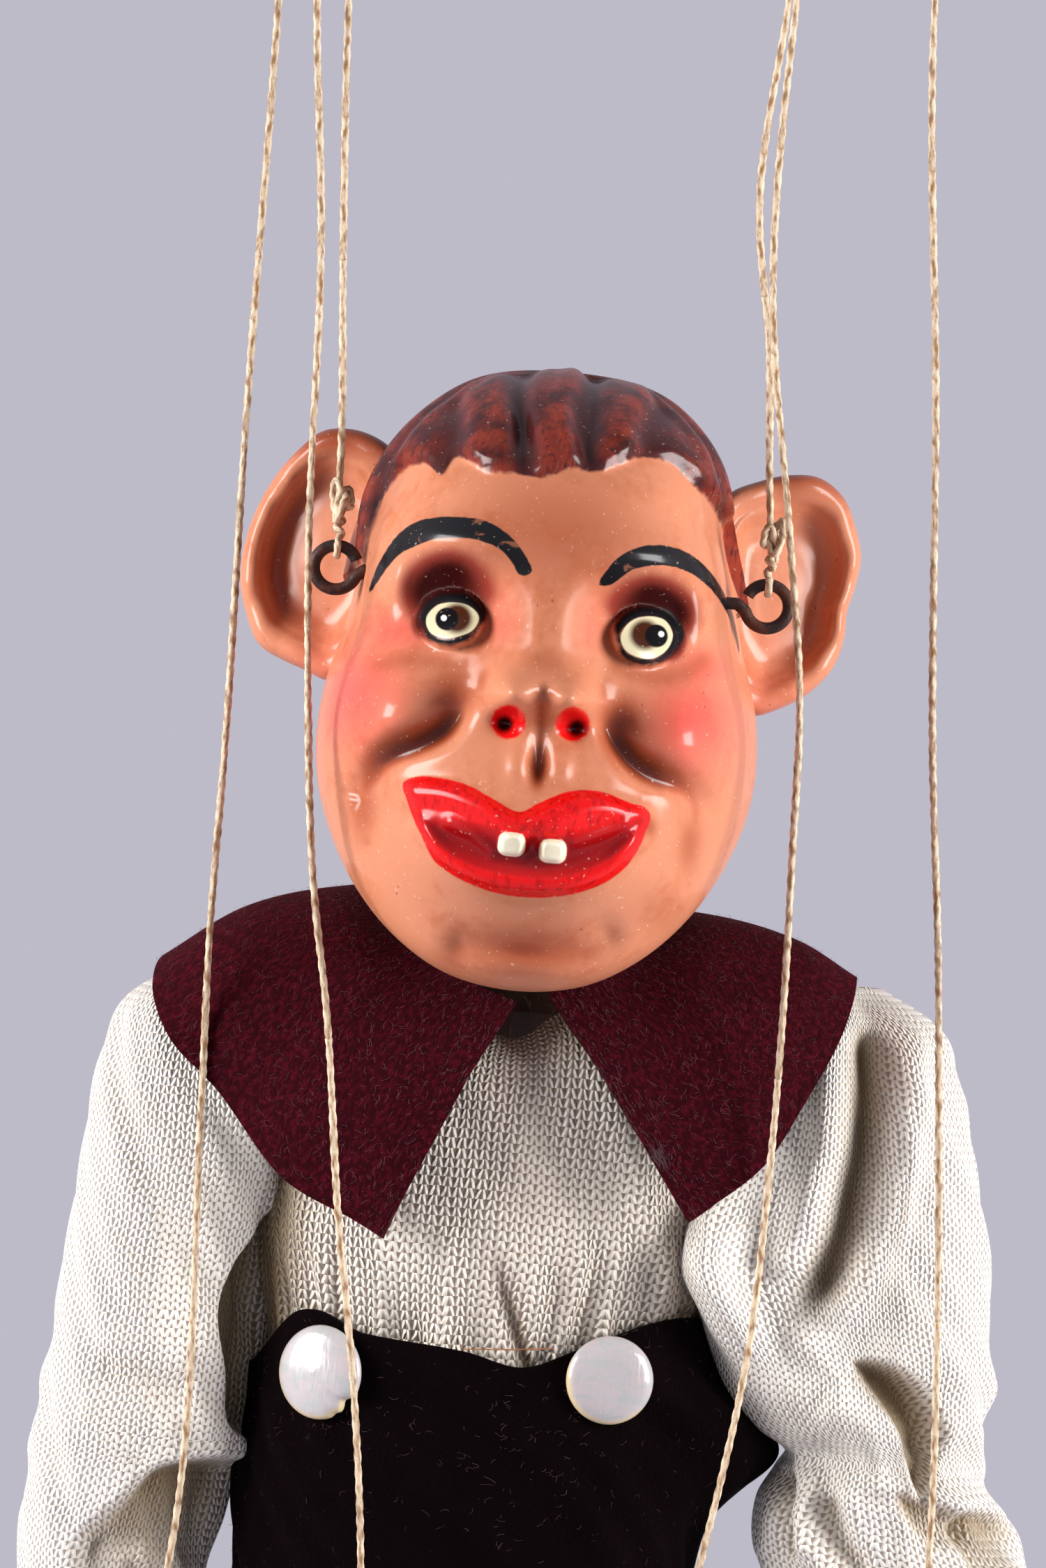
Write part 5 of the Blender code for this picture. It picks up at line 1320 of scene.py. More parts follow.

        # The crease mark: painted shade in the folds beside the mouth, under the eyes, in the philtrum, round and
        # between the nose's lobes, across the forehead's middle and on the chin, partly over the face's brown crease
        # paint and dirt.
        taper = step_up(share, 0.02, 0.3) * (0.3 + 0.7 * step_up(share, 0.85, 0.5))
        upper = np.maximum(step_up(gaps["cheek"], -0.6, 0.8), step_up(np.abs(x), 19.0, 21.0))
        crease = np.max([
            0.86 * bell(gaps["fold"], 1.1 + 1.7 * upper * step_up(share, 0.8, 0.55)) * taper,
            0.26 * bell(gaps["bag"], 1.8),
            spots((0.62, 0.5, 329.0, 1.3, 3.0), (0.45, -11.2, 337.5, 3.6, 4.0), (0.62, 10.4, 335.0, 3.0, 4.6),
                  (0.26, 0.2, 342.6, 4.6, 2.6), (0.42, 0.3, 336.2, 1.5, 3.6), (0.3, 0.0, 359.0, 14.0, 9.0),
                  (0.3, -8.0, 339.6, 1.2, 2.6), (0.3, 8.2, 339.8, 1.2, 2.6), (0.5, 1.0, 305.6, 6.0, 2.0),
                  (0.36, -21.5, 321.5, 2.4, 5.0), (0.32, 20.8, 321.0, 2.0, 5.0), (0.4, 1.5, 305.6, 10.5, 4.0),
                  (0.3, 8.4, 305.8, 3.0, 2.0), (0.4, 15.0, 322.8, 1.6, 1.6), (0.2, 18.0, 312.0, 5.0, 4.0),
                  (0.3, -8.0, 304.5, 3.4, 3.0)),
        ], axis=0)
        made = Surface(p, filled=True)
        made.marks = {
            **{word: gaps[word] for word in ("brow", "eye", "lips", "mouth", "tooth")},
            "hair": -hair, "wave": np.clip(wave - 0.6 * deep, 0.0, 1.0),
            "pupil": rounds((-13.0, 347.0, 1.0), (14.0, 347.3, 1.0)),
            "iris": rounds((-11.7, 347.2, 1.0), (12.5, 347.3, 1.0)),
            "glint": rounds((-13.4, 347.1, 1.0), (14.6, 347.6, 1.0)),
            "lid": self.lid(x, z, gaps["eye"]),
            "nostril": rounds((-3.9, 334.5, 1.06), (4.3, 335.0, 1.02)) - 2.15,
            # Painted shade in the nostrils' hollows, towards their outer and lower sides.
            "nostril_dark": rounds((-4.4, 334.2, 1.0), (4.9, 334.6, 1.0)) - 1.1,
            "socket": self.socket(x, z, gaps["eye"]) * front,
            "matte": spots((1.2, -6.4, 347.5, 4.4, 8.0), (1.2, 6.4, 347.5, 4.4, 8.0)),
            "blush": spots((1.0, -24.0, 336.5, 6.5, 7.0), (0.85, -19.8, 345.0, 3.8, 2.8), (1.0, 19.6, 336.5, 6.0, 6.2),
                           (0.7, 20.4, 343.6, 4.0, 3.0), (0.5, -6.4, 347.6, 2.4, 3.6), (0.4, 5.8, 348.2, 2.0, 3.8)),
            "crease": crease,
        }
        return made

    def teeth(self, x: Array, z: Array) -> Array:
        """The distance outside the nearer of two teeth, whose outlines are cubic superellipses."""
        outside = [
            ((np.abs(x - tx) / 1.75) ** 3 + (np.abs(z - tz) / 1.55) ** 3) ** (1 / 3) - 1.0
            for tx, tz in ((-2.1, 319.0), (3.2, 318.6))
        ]
        return np.min(outside, axis=0) * 1.6

    def fold_share(self, x: Array, z: Array) -> Array:
        """How far down the nearer of the two folds beside the mouth each place is, from 0 to 1."""
        (left, left_share), (right, right_share) = (path_gap(x, z, trace(f, 0.7)) for f in (FOLD_LEFT, FOLD_RIGHT))
        return np.where(left < right, left_share, right_share)

    def socket(self, x: Array, z: Array, eye: Array) -> Array:
        """The dark paint round each eye: an oval up to the brow, thinner towards the nose and gone below the eye."""
        nearer = np.where(x < 0, -1.0, 1.0)
        outer, above = nearer * (x - nearer * 12.9), z - 350.4
        oval = np.hypot(outer / 7.7, above / np.where(x < 0, 6.6, 5.6))
        sector = step_up(above + 0.5 * outer, -6.4, -2.2) * (0.72 + 0.28 * step_up(outer, -4.0, 0.5))
        return np.maximum(step_up(oval, 1.08, 0.36), step_up(eye, 2.6, 0.8)) * sector

    def lid(self, x: Array, z: Array, eye: Array) -> Array:
        """The distance to the black lid lines: a band outside the eye's edge, wider above and at the outer corner."""
        above, below = step_up(z, 345.6, 348.6), step_up(z, 345.8, 344.6)
        corner = hump(x, z, (16.2, 347.4), 1.6, 2.2) * (x >= 0)
        width = 0.3 + 0.85 * above + 0.5 * below + 1.0 * corner
        return np.abs(eye - 0.5 * width) - 0.5 * width

    def build(self, finishes: Finishes) -> None:
        """Makes the head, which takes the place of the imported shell."""
        add_piece("head", self.shape(), finishes.face, node="head_shell", body="head")


@dataclass
class Ear:
    """A big cupped ear: a dish with a rolled rim inside an outline, closed by a rounded back."""

    side: Side
    outline: tuple
    middle: tuple[float, float] = (30.5, 354.8)
    nearness: float = 1.02
    sides: int = 150

    def shape(self) -> Surface:
        """Rings from the dish's middle out over the rim and round to the back, scaled to the outline at each angle."""
        sign = float(self.side.value)
        cx, cz = sign * self.middle[0], self.middle[1]
        drop = np.array([0.0, 340.0 * (1.0 - self.nearness)])
        path = trace(np.array(self.outline) * self.nearness + drop, 0.4, closed=True)
        bearing = np.arctan2(path[:, 1] - cz, path[:, 0] - cx)
        reach = np.hypot(path[:, 0] - cx, path[:, 1] - cz)
        order = np.argsort(bearing)
        angle = np.linspace(-math.pi, math.pi, self.sides, endpoint=False)
        edge = np.interp(angle, bearing[order], reach[order], period=FULL_TURN)
        share = np.linspace(0.0, 1.0, 64)
        knots = (0.0, 0.16, 0.30, 0.38, 0.44, 0.50, 0.56, 0.62, 0.70, 0.80, 0.90, 1.0)
        out = curve_at(share, knots, (0.02, 0.34, 0.56, 0.66, 0.74, 0.84, 0.945, 1.0, 0.96, 0.76, 0.4, 0.02))[:, None]
        depth = curve_at(share, knots, (2.4, 2.6, 2.5, 1.5, 0.0, -1.3, -1.2, 0.8, 3.4, 5.4, 6.6, 7.0))[:, None]
        x, z = cx + out * edge * np.cos(angle), cz + out * edge * np.sin(angle)
        outer = sign * (x - cx) / 11.0
        inside = share[:, None] < 0.45
        depth = np.where(inside, depth + 1.3 * np.clip(outer, -0.6, 1.0) * (share[:, None] / 0.45) ** 0.7, depth)
        ripple = 0.35 * wander(angle * 3.0 + sign, 11)[None, :]
        ripple = ripple * step_up(share, 0.35, 0.5)[:, None] * step_up(share, 0.75, 0.6)[:, None]
        y = HEAD_Y + 3.5 + 0.42 * (np.abs(x) - 27.0) + depth + ripple
        made = Surface(np.stack([x, y, z], axis=2), filled=True)
        # Painted shade for the crease mark: in the dish and along the ditch inside the rim, stronger on the left ear
        # than on the right, and darker towards the top.
        ditch = bell(share - 0.31, 0.10)[:, None] * step_up(outer, -0.5, 0.5)
        hollow_shade = ditch + 0.12 * step_up(share, 0.4, 0.2)[:, None]
        top = step_up(z, 364.5, 370.5) * (0.5 + 0.5 * step_up(share, 0.4, 0.6)[:, None])
        blank = np.full(x.shape, 20.0)
        distances = (
            "brow", "eye", "lips", "mouth", "tooth", "hair", "pupil", "iris", "glint", "lid", "nostril", "nostril_dark",
        )
        made.marks = {word: blank for word in distances}
        made.marks.update({word: blank * 0.0 for word in ("wave", "socket", "matte")})
        in_hollow, on_top = (0.5, 0.6) if self.side is Side.LEFT else (0.12, 0.4)
        made.marks["blush"] = 0.25 * hump(x, z, (sign * 29.0, 341.0), 5.0, 6.0)
        made.marks["crease"] = np.clip(in_hollow * hollow_shade + on_top * top, 0.0, 0.9)
        return made

    def build(self, finishes: Finishes) -> None:
        """Makes the ear, which moves with the head."""
        add_piece(f"ear_{self.side.word}", self.shape(), finishes.face, body="head")


def add_lint(
    name: str, cloth: Array, finishes: Finishes, likely: Array, loop_columns: bool, count: int, seed: int, long: float,
    points: int = 7, sides: int = 3,
) -> bpy.types.Object:
    """Lays loose pale fibres on a cloth, all as one piece: each a curled thread between places of the cloth's own grid.

    A fibre runs from a random cell in a random direction with a steady curl; its points are read off the grid at
    those rows and columns and lifted along the normal. At each point it has three corners: two at its sides and one
    above.

    Args:
        name: The piece's name.
        cloth: The cloth's outer grid.
        finishes: The puppet's finishes.
        likely: How likely a fibre is at each grid point.
        loop_columns: Whether the grid is a tube.
        count: How many fibres.
        seed: The random numbers' start.
        long: The longest fibre.
        points: Points along a fibre.
        sides: Corners at each point.

    Returns:
        The new object.
    """
    rng = np.random.default_rng(seed)
    rows, columns = cloth.shape[:2]
    flat = rng.choice(rows * columns, count, p=(likely / likely.sum()).ravel())
    r0, c0 = flat // columns, flat % columns
    tall = np.linalg.norm(cloth[1:, :-1] - cloth[:-1, :-1], axis=2).mean()
    broad = np.linalg.norm(cloth[:, 1:] - cloth[:, :-1], axis=2).mean()
    t = np.linspace(0.0, 1.0, points)[None, :]
    heading = rng.uniform(0, FULL_TURN, (count, 1)) + rng.normal(0, 1.6, (count, 1)) * t
    step = long * rng.uniform(0.25, 1.0, (count, 1)) ** 1.5 / (points - 1)
    r = np.clip(r0[:, None] + np.cumsum(np.sin(heading) * step, axis=1) / tall, 0, rows - 1.001)
    c = c0[:, None] + np.cumsum(np.cos(heading) * step, axis=1) / broad
    c = np.mod(c, columns) if loop_columns else np.clip(c, 0, columns - 1.001)
    i, j = r.astype(int), c.astype(int)
    fr, fc = (r - i)[..., None], (c - j)[..., None]
    beside = (j + 1) % columns
    low, high = (cloth[k, j] * (1 - fc) + cloth[k, beside] * fc for k in (i, i + 1))
    lift = 0.06 + rng.uniform(0.0, 0.5, (count, 1)) * np.sin(math.pi * t) ** 2
    up = normals_of(cloth, loop_columns)[i, j]
    middle = low * (1 - fr) + high * fr + up * lift[..., None]
    side = unit(np.cross(unit(np.gradient(middle, axis=1)), up))
    thin = rng.uniform(0.007, 0.015, (count, 1, 1))
    strip = np.stack([middle + side * thin, middle + up * thin, middle - side * thin], axis=2)

    first = points * sides * np.arange(count)
    ring = first[:, None, None] + sides * np.arange(points - 1)[None, :, None]
    k = np.arange(sides)[None, None, :]
    follows = (k + 1) % sides
    faces = np.stack([ring + k, ring + sides + k, ring + sides + follows, ring + follows], axis=3).reshape(-1, 4)
    end = first + points * sides - 1
    caps = np.concatenate([np.stack([first, first + 1, first + 2], 1), np.stack([end, end - 1, end - 2], 1)])
    mesh = bpy.data.meshes.new(name)
    mesh.from_pydata(in_frame(strip.reshape(-1, 3)).tolist(), [], faces.tolist() + caps.tolist())
    mesh.polygons.foreach_set("use_smooth", np.ones(len(mesh.polygons), bool))
    mesh.uv_layers.new(name="cloth")
    return add_piece(name, mesh, finishes.lint, body="torso")


@dataclass
class Collar:
    """The felt collar: two pointed lobes in front, one piece round the back, lying on the shoulders."""

    thickness: float = 1.4
    rows: int = 60
    columns: int = 260
    cut: tuple[float, float] = (0.150, 0.042)

    def shape(self) -> Array:
        """A grid from the neck edge to the cut edge, smooth through rows of places from the left lobe round the back.

        Each station gives the neck edge, a place a third and two thirds of the way out, and the cut edge. The neck
        edge dips a little in front, which leaves room for the chin.
        """
        stations = np.array([
            [(0.3, -14.2, 299.2), (-4.6, -17.2, 288.8), (-9.3, -18.6, 278.0), (-14.4, -18.9, 266.3)],
            [(-4.0, -13.6, 300.6), (-9.8, -17.4, 290.0), (-15.6, -18.5, 279.2), (-18.4, -18.2, 268.3)],
            [(-8.0, -11.8, 302.8), (-16.2, -16.6, 294.0), (-22.4, -17.2, 283.4), (-28.2, -15.8, 272.9)],
            [(-11.4, -8.0, 305.0), (-21.2, -13.6, 300.0), (-29.8, -14.6, 290.6), (-37.4, -12.2, 283.0)],
            [(-13.4, -3.0, 307.0), (-24.4, -8.4, 305.4), (-34.8, -11.4, 298.2), (-44.4, -10.4, 289.3)],
            [(-14.2, 3.0, 308.8), (-25.2, 0.0, 309.2), (-37.2, -4.0, 304.8), (-47.6, -4.4, 296.2)],
            [(-13.8, 9.0, 310.6), (-24.4, 9.0, 311.0), (-35.6, 8.0, 307.6), (-45.4, 9.0, 300.4)],
            [(-11.0, 16.0, 313.2), (-18.4, 19.0, 311.4), (-27.4, 21.0, 305.6), (-33.0, 22.6, 296.8)],
            [(0.0, 20.6, 315.0), (0.0, 25.6, 310.6), (0.0, 28.4, 302.0), (0.0, 29.0, 291.4)],
            [(11.0, 16.0, 313.2), (18.4, 19.0, 311.4), (27.4, 21.0, 306.6), (33.0, 22.6, 298.8)],
            [(13.8, 9.0, 310.6), (24.6, 9.0, 311.8), (35.6, 8.0, 309.4), (43.6, 9.0, 304.4)],
            [(14.2, 3.0, 309.0), (25.4, 0.0, 310.6), (36.4, -2.0, 308.6), (45.0, -0.4, 304.6)],
            [(13.6, -3.0, 307.8), (25.2, -8.0, 306.4), (35.4, -9.6, 302.4), (43.4, -7.8, 297.6)],
            [(12.4, -8.0, 306.0), (23.4, -13.4, 301.0), (32.0, -15.0, 294.4), (39.2, -13.6, 288.6)],
            [(10.4, -11.6, 304.4), (19.6, -16.4, 295.6), (27.6, -17.8, 287.2), (34.6, -17.2, 280.2)],
            [(7.6, -13.4, 302.8), (14.2, -17.4, 292.4), (21.0, -18.6, 282.8), (28.4, -18.6, 274.4)],
            [(4.4, -14.2, 300.8), (11.6, -17.6, 291.0), (18.6, -18.8, 281.2), (25.3, -19.0, 271.8)],
        ])
        count = len(stations)
        along = np.linspace(0.0, 1.0, self.columns)
        around = curve_at(along, np.linspace(0.0, 1.0, count), stations.reshape(count, -1)).reshape(self.columns, 4, 3)
        share = np.linspace(0.0, 1.0, self.rows)
        p = curve_at(share, (0.0, 1 / 3, 2 / 3, 1.0), around.transpose(1, 0, 2).reshape(4, -1))
        p = p.reshape(self.rows, self.columns, 3)
        share = share[:, None]
        ripple = 0.35 * wander(np.linspace(0.0, 22.0, self.columns)[None, :] + share, 3) * share**2
        p[..., 1] -= ripple
        p[..., 2] -= 0.8 * step_up(share, 0.35, 0.0) * step_up(p[..., 1], 6.0, -4.0)
        return p

    def build(self, finishes: Finishes) -> None:
        """Makes the collar and its lint."""
        p = self.shape()
        sheet = thick_sheet(p, self.thickness, False)
        collar = add_piece("felt_collar", sheet, finishes.felt, node="collar", body="torso")
        front = np.where(p[..., 1] < 3.0, 1.0, 0.35)
        lint = add_lint("collar_lint", p, finishes, front, False, count=3200, seed=21, long=1.7)
        tuft_at = hump(p[..., 0], p[..., 2], (20.8, 279.9), 0.8, 0.8) * (p[..., 1] < 0.0) + 1e-9
        tuft = add_lint("collar_tuft", p, finishes, tuft_at, False, count=160, seed=22, long=2.0)


@dataclass
class Shirt:
    """The knit shirt's body: a tube over the block, blousing above the waist and gathered into it."""

    thickness: float = 1.0
    rows: int = 120
    columns: int = 320
    cut_height: float = 0.06

    def shape(self) -> Array:
        """Rings from the neck to the waist, which dip at the throat, with pleats towards the waist and long creases."""
        levels = np.linspace(303.0, 243.0, self.rows)
        knots = (243, 252, 256, 260, 265, 276, 288, 295, 299, 303)
        wide = curve_at(levels, knots, (28.2, 28.0, 28.6, 29.6, 30.6, 30.2, 30.2, 28.0, 23.0, 14.0))
        deep = curve_at(levels, knots, (17.6, 17.7, 18.1, 18.8, 19.3, 18.2, 17.7, 16.6, 14.6, 11.0))
        middle = (0.0, BODY_Y)
        p = oval_rings(levels, middle, (wide, deep), self.columns, 2.4)
        angle = turns(self.columns)[None, :]
        gather = step_up(levels, 276.0, 252.0)[:, None]
        pleat = np.sin(angle * 24.0 + 1.6 * np.sin(angle * 5.0)) + 0.6 * np.sin(angle * 41.0 + 2.0)
        x, z = p[..., 0], p[..., 2]
        out = 0.55 * gather * pleat + 0.35 * wander(angle * 6.0 + levels[:, None] / 9.0, 8)
        crease = 1.2 * self.middle_fold(x, z)
        for at, slant, top, bottom in ((-9.0, -0.25, 266.0, 254.0), (12.0, 0.2, 270.0, 256.0)):
            crease += 0.7 * bell(x - at - slant * (z - 255.0), 1.3) * step_up(z, top, bottom)
        out = np.maximum(out - 1.7 * crease * (p[..., 1] < BODY_Y), -1.1)
        p = pushed_out(p, middle, out)
        neck = step_up(p[..., 1], BODY_Y, BODY_Y - 5.0) * step_up(levels, 286.0, 303.0)[:, None]
        p[..., 2] -= 6.0 * bell(x, 6.5) * neck
        return p

    def shade(self, p: Array) -> Array:
        """How much painted shade each place gets: a little all over, more under the chin, in the middle fold and at the
        sides behind the sleeves.
        """
        x, z = p[..., 0], p[..., 2]
        high = 0.7 * step_up(z, 288.0, 297.0) + 0.6 * self.middle_fold(x, z) * (p[..., 1] < BODY_Y)
        return np.clip(0.1 + high + 0.9 * step_up(np.abs(x), 22.0, 29.0), 0.0, 1.0)

    def middle_fold(self, x: Array, z: Array) -> Array:
        """The sharp fold that leans from the chest down to the waist's middle, 1 in its bottom and 0 away from it."""
        return bell(x - 4.6 + 0.39 * (z - 255.0), 0.9) * step_up(z, 267.0, 257.0)

    def build(self, finishes: Finishes) -> None:
        """Makes the shirt's body."""
        p = self.shape()
        sheet = thick_sheet(p[:, ::-1], self.thickness, fold=self.shade(p)[:, ::-1])
        shirt = add_piece("knit_shirt", sheet, finishes.open_knit, node="shirt_body", body="torso")


@dataclass
class Sleeve:
    """One loose knit sleeve: rings between an inner and an outer edge, folded at the elbow, cut there in two."""

    side: Side
    levels: tuple
    outer: tuple
    inner: tuple
    depth: tuple
    elbow: float
    valleys: tuple
    scoops: tuple
    tuck: float = 0.0
    roll: float = 0.95
    thickness: float = 1.0
    rows: int = 200
    columns: int = 220

    def shape(self) -> tuple[Array, Array]:
        """Rings whose two edges follow the sleeve's outline, then creases pressed in and rolls raised in front.

        A valley is a path with a depth and a half width; its sides swell a little where the cloth it takes piles up.
        A scoop is an outline whose inside lies deeper, by less and less towards its lowest level. The outlines are as
        seen from the camera, so widths grow with the distance behind the picture's plane. The tuck draws the inner edge
        forward over the shirt.

        Returns:
            The grid, and how deep in a fold each place lies, from 0 to 1, for the knit's painted shade.
        """
        sign = float(self.side.value)
        levels = np.linspace(self.levels[0], self.levels[-1], self.rows)
        knots = np.array(self.levels[::-1])
        outer, inner, deep = (curve_at(levels, knots, v[::-1]) for v in (self.outer, self.inner, self.depth))
        middle = ((outer + inner) / 2, BODY_Y - 0.5)
        p = oval_rings(levels, middle, (np.abs(outer - inner) / 2, deep), self.columns, 2.25)
        angle = turns(self.columns)[None, :]
        x, z = p[..., 0], p[..., 2]
        front = step_up(p[..., 1], BODY_Y + 2.0, BODY_Y - 5.0)
        out = 0.45 * wander(angle * 3.0 + levels[:, None] / 7.0, 31 + self.side.value)
        near = bell(levels - self.elbow, 13.0)[:, None]
        rolls = np.sin(levels[:, None] / 1.55 + 2.1 * np.sin(angle + 0.7 * sign) + 0.8 * np.sin(3.0 * angle))
        out += self.roll * near * rolls * (0.55 + 0.45 * np.cos(angle - (0.0 if sign > 0 else math.pi)))
        # fold: painted shade for the knit, in the valleys and the scoops.
        fold = np.zeros(x.shape)
        for path, deep_by, half_width in self.valleys:
            gap, share = path_gap(x, z, trace(path, 0.8))
            taper = front * (step_up(share, 0.0, 0.15) * step_up(share, 1.0, 0.85) * 0.8 + 0.2)
            dip = taper * bell(gap, half_width)
            out += deep_by * (0.45 * taper * bell(gap - 2.2 * half_width, half_width) - dip)
            fold = np.maximum(fold, dip * deep_by / 4.5)
        for outline, deep_by, fading in self.scoops:
            high, low = max(at[1] for at in outline), min(at[1] for at in outline)
            inside = front * step_up(outline_gap(x, z, outline), 0.7, -1.7) * (1.0 - fading * step_up(z, high, low))
            out -= deep_by * inside
            fold = np.maximum(fold, inside)
        gather = step_up(levels, self.levels[-1] + 16.0, self.levels[-1] + 2.0)[:, None]
        out += 0.5 * gather * np.sin(angle * 17.0)
        p = pushed_out(p, middle, out)
        p[..., 0] += (p[..., 0] - Studio.middle[0]) * (p[..., 1] - Studio.plane_y) / Studio.distance
        drawn = step_up(sign * x, (sign * inner + 11.0)[:, None], (sign * inner + 2.0)[:, None])
        p[..., 1] -= self.tuck * drawn * bell(z - 265.0, 12.0)
        return p, np.clip(fold, 0.0, 1.0)

    def build(self, finishes: Finishes) -> None:
        """Makes the sleeve's two pieces, which share a row at the elbow."""
        p, fold = (grid[:, ::-1] for grid in self.shape())
        word = self.side.word
        upper_arm = f"upper_arm_{word}"
        cut = int(np.argmin(np.abs(p[:, 0, 2] - self.elbow)))
        for rows, name, bodies, span in (
            (slice(0, cut + 1), "upper", ("torso", upper_arm), SHOULDER_SPAN),
            (slice(cut, None), "lower", (upper_arm, f"forearm_{word}"), (self.elbow, self.elbow - 18.0)),
        ):
            part = p[rows]
            begin = float(p[0, :, 2].mean() - part[0, :, 2].mean())
            sheet = thick_sheet(part, self.thickness, uv_from=begin, fold=fold[rows])
            node = f"sleeve_{name}_{word}"
            piece = add_piece(f"knit_{node}", sheet, finishes.knit, node=node)
            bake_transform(piece)


@dataclass
class Trousers:
    """Short plush trousers: a seat buttoned to the shirt at the waist, and two straight legs."""

    thickness: float = 1.3
    rows: int = 110
    columns: int = 260
    leg_rows: int = 100
    leg_columns: int = 170
    seat_height: float = 0.054
    leg_height: float = 0.081

    def seat_shape(self) -> Array:
        """Rings from the waist to the hem, with a scooped front edge, a slack fold at the right and a split below."""
        share = np.linspace(0.0, 1.0, self.rows)
        levels = 257.0 - 54.0 * share
        knots = (203, 212, 222, 236, 246, 252, 257)
        wide = curve_at(levels, knots, (29.6, 30.0, 30.2, 31.2, 31.2, 30.8, 30.6))
        deep = curve_at(levels, knots, (18.6, 19.2, 19.6, 20.2, 20.4, 20.3, 20.2))
        middle = (0.0, BODY_Y)
        p = oval_rings(levels, middle, (wide, deep), self.columns, 2.4)
        angle = turns(self.columns)[None, :]
        x = p[..., 0]
        front = step_up(p[..., 1], BODY_Y, BODY_Y - 14.0)
        edge = curve_at(np.clip(x[0], -31.0, 31.0), (-31, -28.6, -25.5, -15.7, -2.0, 6.1, 12.0, 23.6, 31),
                        (247.0, 250.8, 254.6, 253.3, 252.2, 250.9, 253.4, 258.2, 259.6))
        sides = np.interp(x[0], (-30.0, -10.0, 10.0, 30.0), (247.5, 255.0, 256.0, 258.0))
        top = sides + (edge - sides) * front[0]
        p[..., 2] = top[None, :] + (203.0 - top[None, :]) * share[:, None]
        z = p[..., 2]
        split = bell(x, 5.0) * step_up(z, 222.0, 204.0)
        p[..., 1] = BODY_Y + (p[..., 1] - BODY_Y) * (1.0 - 0.62 * split)
        slack = bell(z - 242.0, 7.5) * step_up(x, 20.0, 31.0)
        p[..., 0] += 8.6 * slack
        p[..., 1] -= 3.0 * slack * front
        out = 0.5 * wander(angle * 5.0 + z / 6.0, 17) * step_up(share, 0.03, 0.2)[:, None]
        pleat = np.sin(angle * 19.0 + 1.3 * np.sin(angle * 3.0))
        out += 0.22 * step_up(share, 0.5, 0.1)[:, None] * pleat * step_up(share, 0.02, 0.1)[:, None]
        return pushed_out(p, middle, out)

    def leg_shape(self, side: Side) -> Array:
        """Rings from inside the seat to the knee, a little wider and waved at the hem, with a soft crease in front."""
        levels = np.linspace(214.0, 133.0, self.leg_rows)
        knots = (133, 160, 190, 205, 214)
        grow = step_up(levels, 150.0, 133.0)
        outer = HIP_X + curve_at(levels, knots, (16.8, 16.2, 16.0, 14.4, 12.6))
        inner = curve_at(levels, knots, (0.6, 0.8, 1.0, 2.2, 4.6))
        middle = (side.value * (outer + inner) / 2, BODY_Y)
        deep = 14.6 + 0.5 * grow - 2.0 * step_up(levels, 204.0, 214.0)
        p = oval_rings(levels, middle, ((outer - inner) / 2, deep), self.leg_columns, 2.3)
        angle = turns(self.leg_columns)[None, :]
        out = 0.4 * wander(angle * 4.0 + levels[:, None] / 12.0, 41 + side.value)
        out += 0.5 * bell(angle - 1.5 * math.pi, 0.05) * step_up(levels, 205.0, 190.0)[:, None]
        out += 0.3 * grow[:, None] * np.sin(angle * 7.0)
        return pushed_out(p, middle, out)

    def build(self, finishes: Finishes) -> None:
        p = self.seat_shape()[:, ::-1]
        sheet = thick_sheet(p, self.thickness)
        seat = add_piece("plush_seat", sheet, finishes.plush, node="trousers_seat", body="torso")
        x, z = p[..., 0], p[..., 2]
        dusty = 0.35 + 3.0 * hump(x, z, (-17.0, 241.5), 9.0, 2.2) + 1.5 * hump(x, z, (5.0, 238.0), 8.0, 8.0)
        lint = add_lint("seat_lint", p, finishes, dusty, True, count=1000, seed=51, long=1.3)
        for side in Side:
            q = self.leg_shape(side)[:, ::-1]
            sheet, thigh = thick_sheet(q, self.thickness), f"thigh_{side.word}"
            name, node = f"plush_leg_{side.word}", f"trouser_leg_{side.word}"
            leg = add_piece(name, sheet, finishes.plush, node=node)
            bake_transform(leg)
        self.thread(p, finishes)

    def thread(self, p: Array, finishes: Finishes) -> None:
        """A loose orange thread pulled across the waist's edge in front, wavering a little."""
        edge = p[4]
        front = edge[edge[:, 1] < BODY_Y - 10.0]
        front = front[np.argsort(front[:, 0])]
        path = front[(front[:, 0] > -3.0) & (front[:, 0] < 11.0)][::6] - np.array([0.0, 0.5, 0.0])
        path[:, 2] = np.interp(path[:, 0], (-3.0, 11.0), (252.6, 253.8)) + 0.15 * wander(path[:, 0], 9)
        skin = tube(trace(path, 0.3), np.array(0.08), 8, tuple(UP))
        skin.marks["ply"] = np.ones(skin.points.shape[:2])
        add_piece("waist_thread", skin, finishes.thread, body="torso")


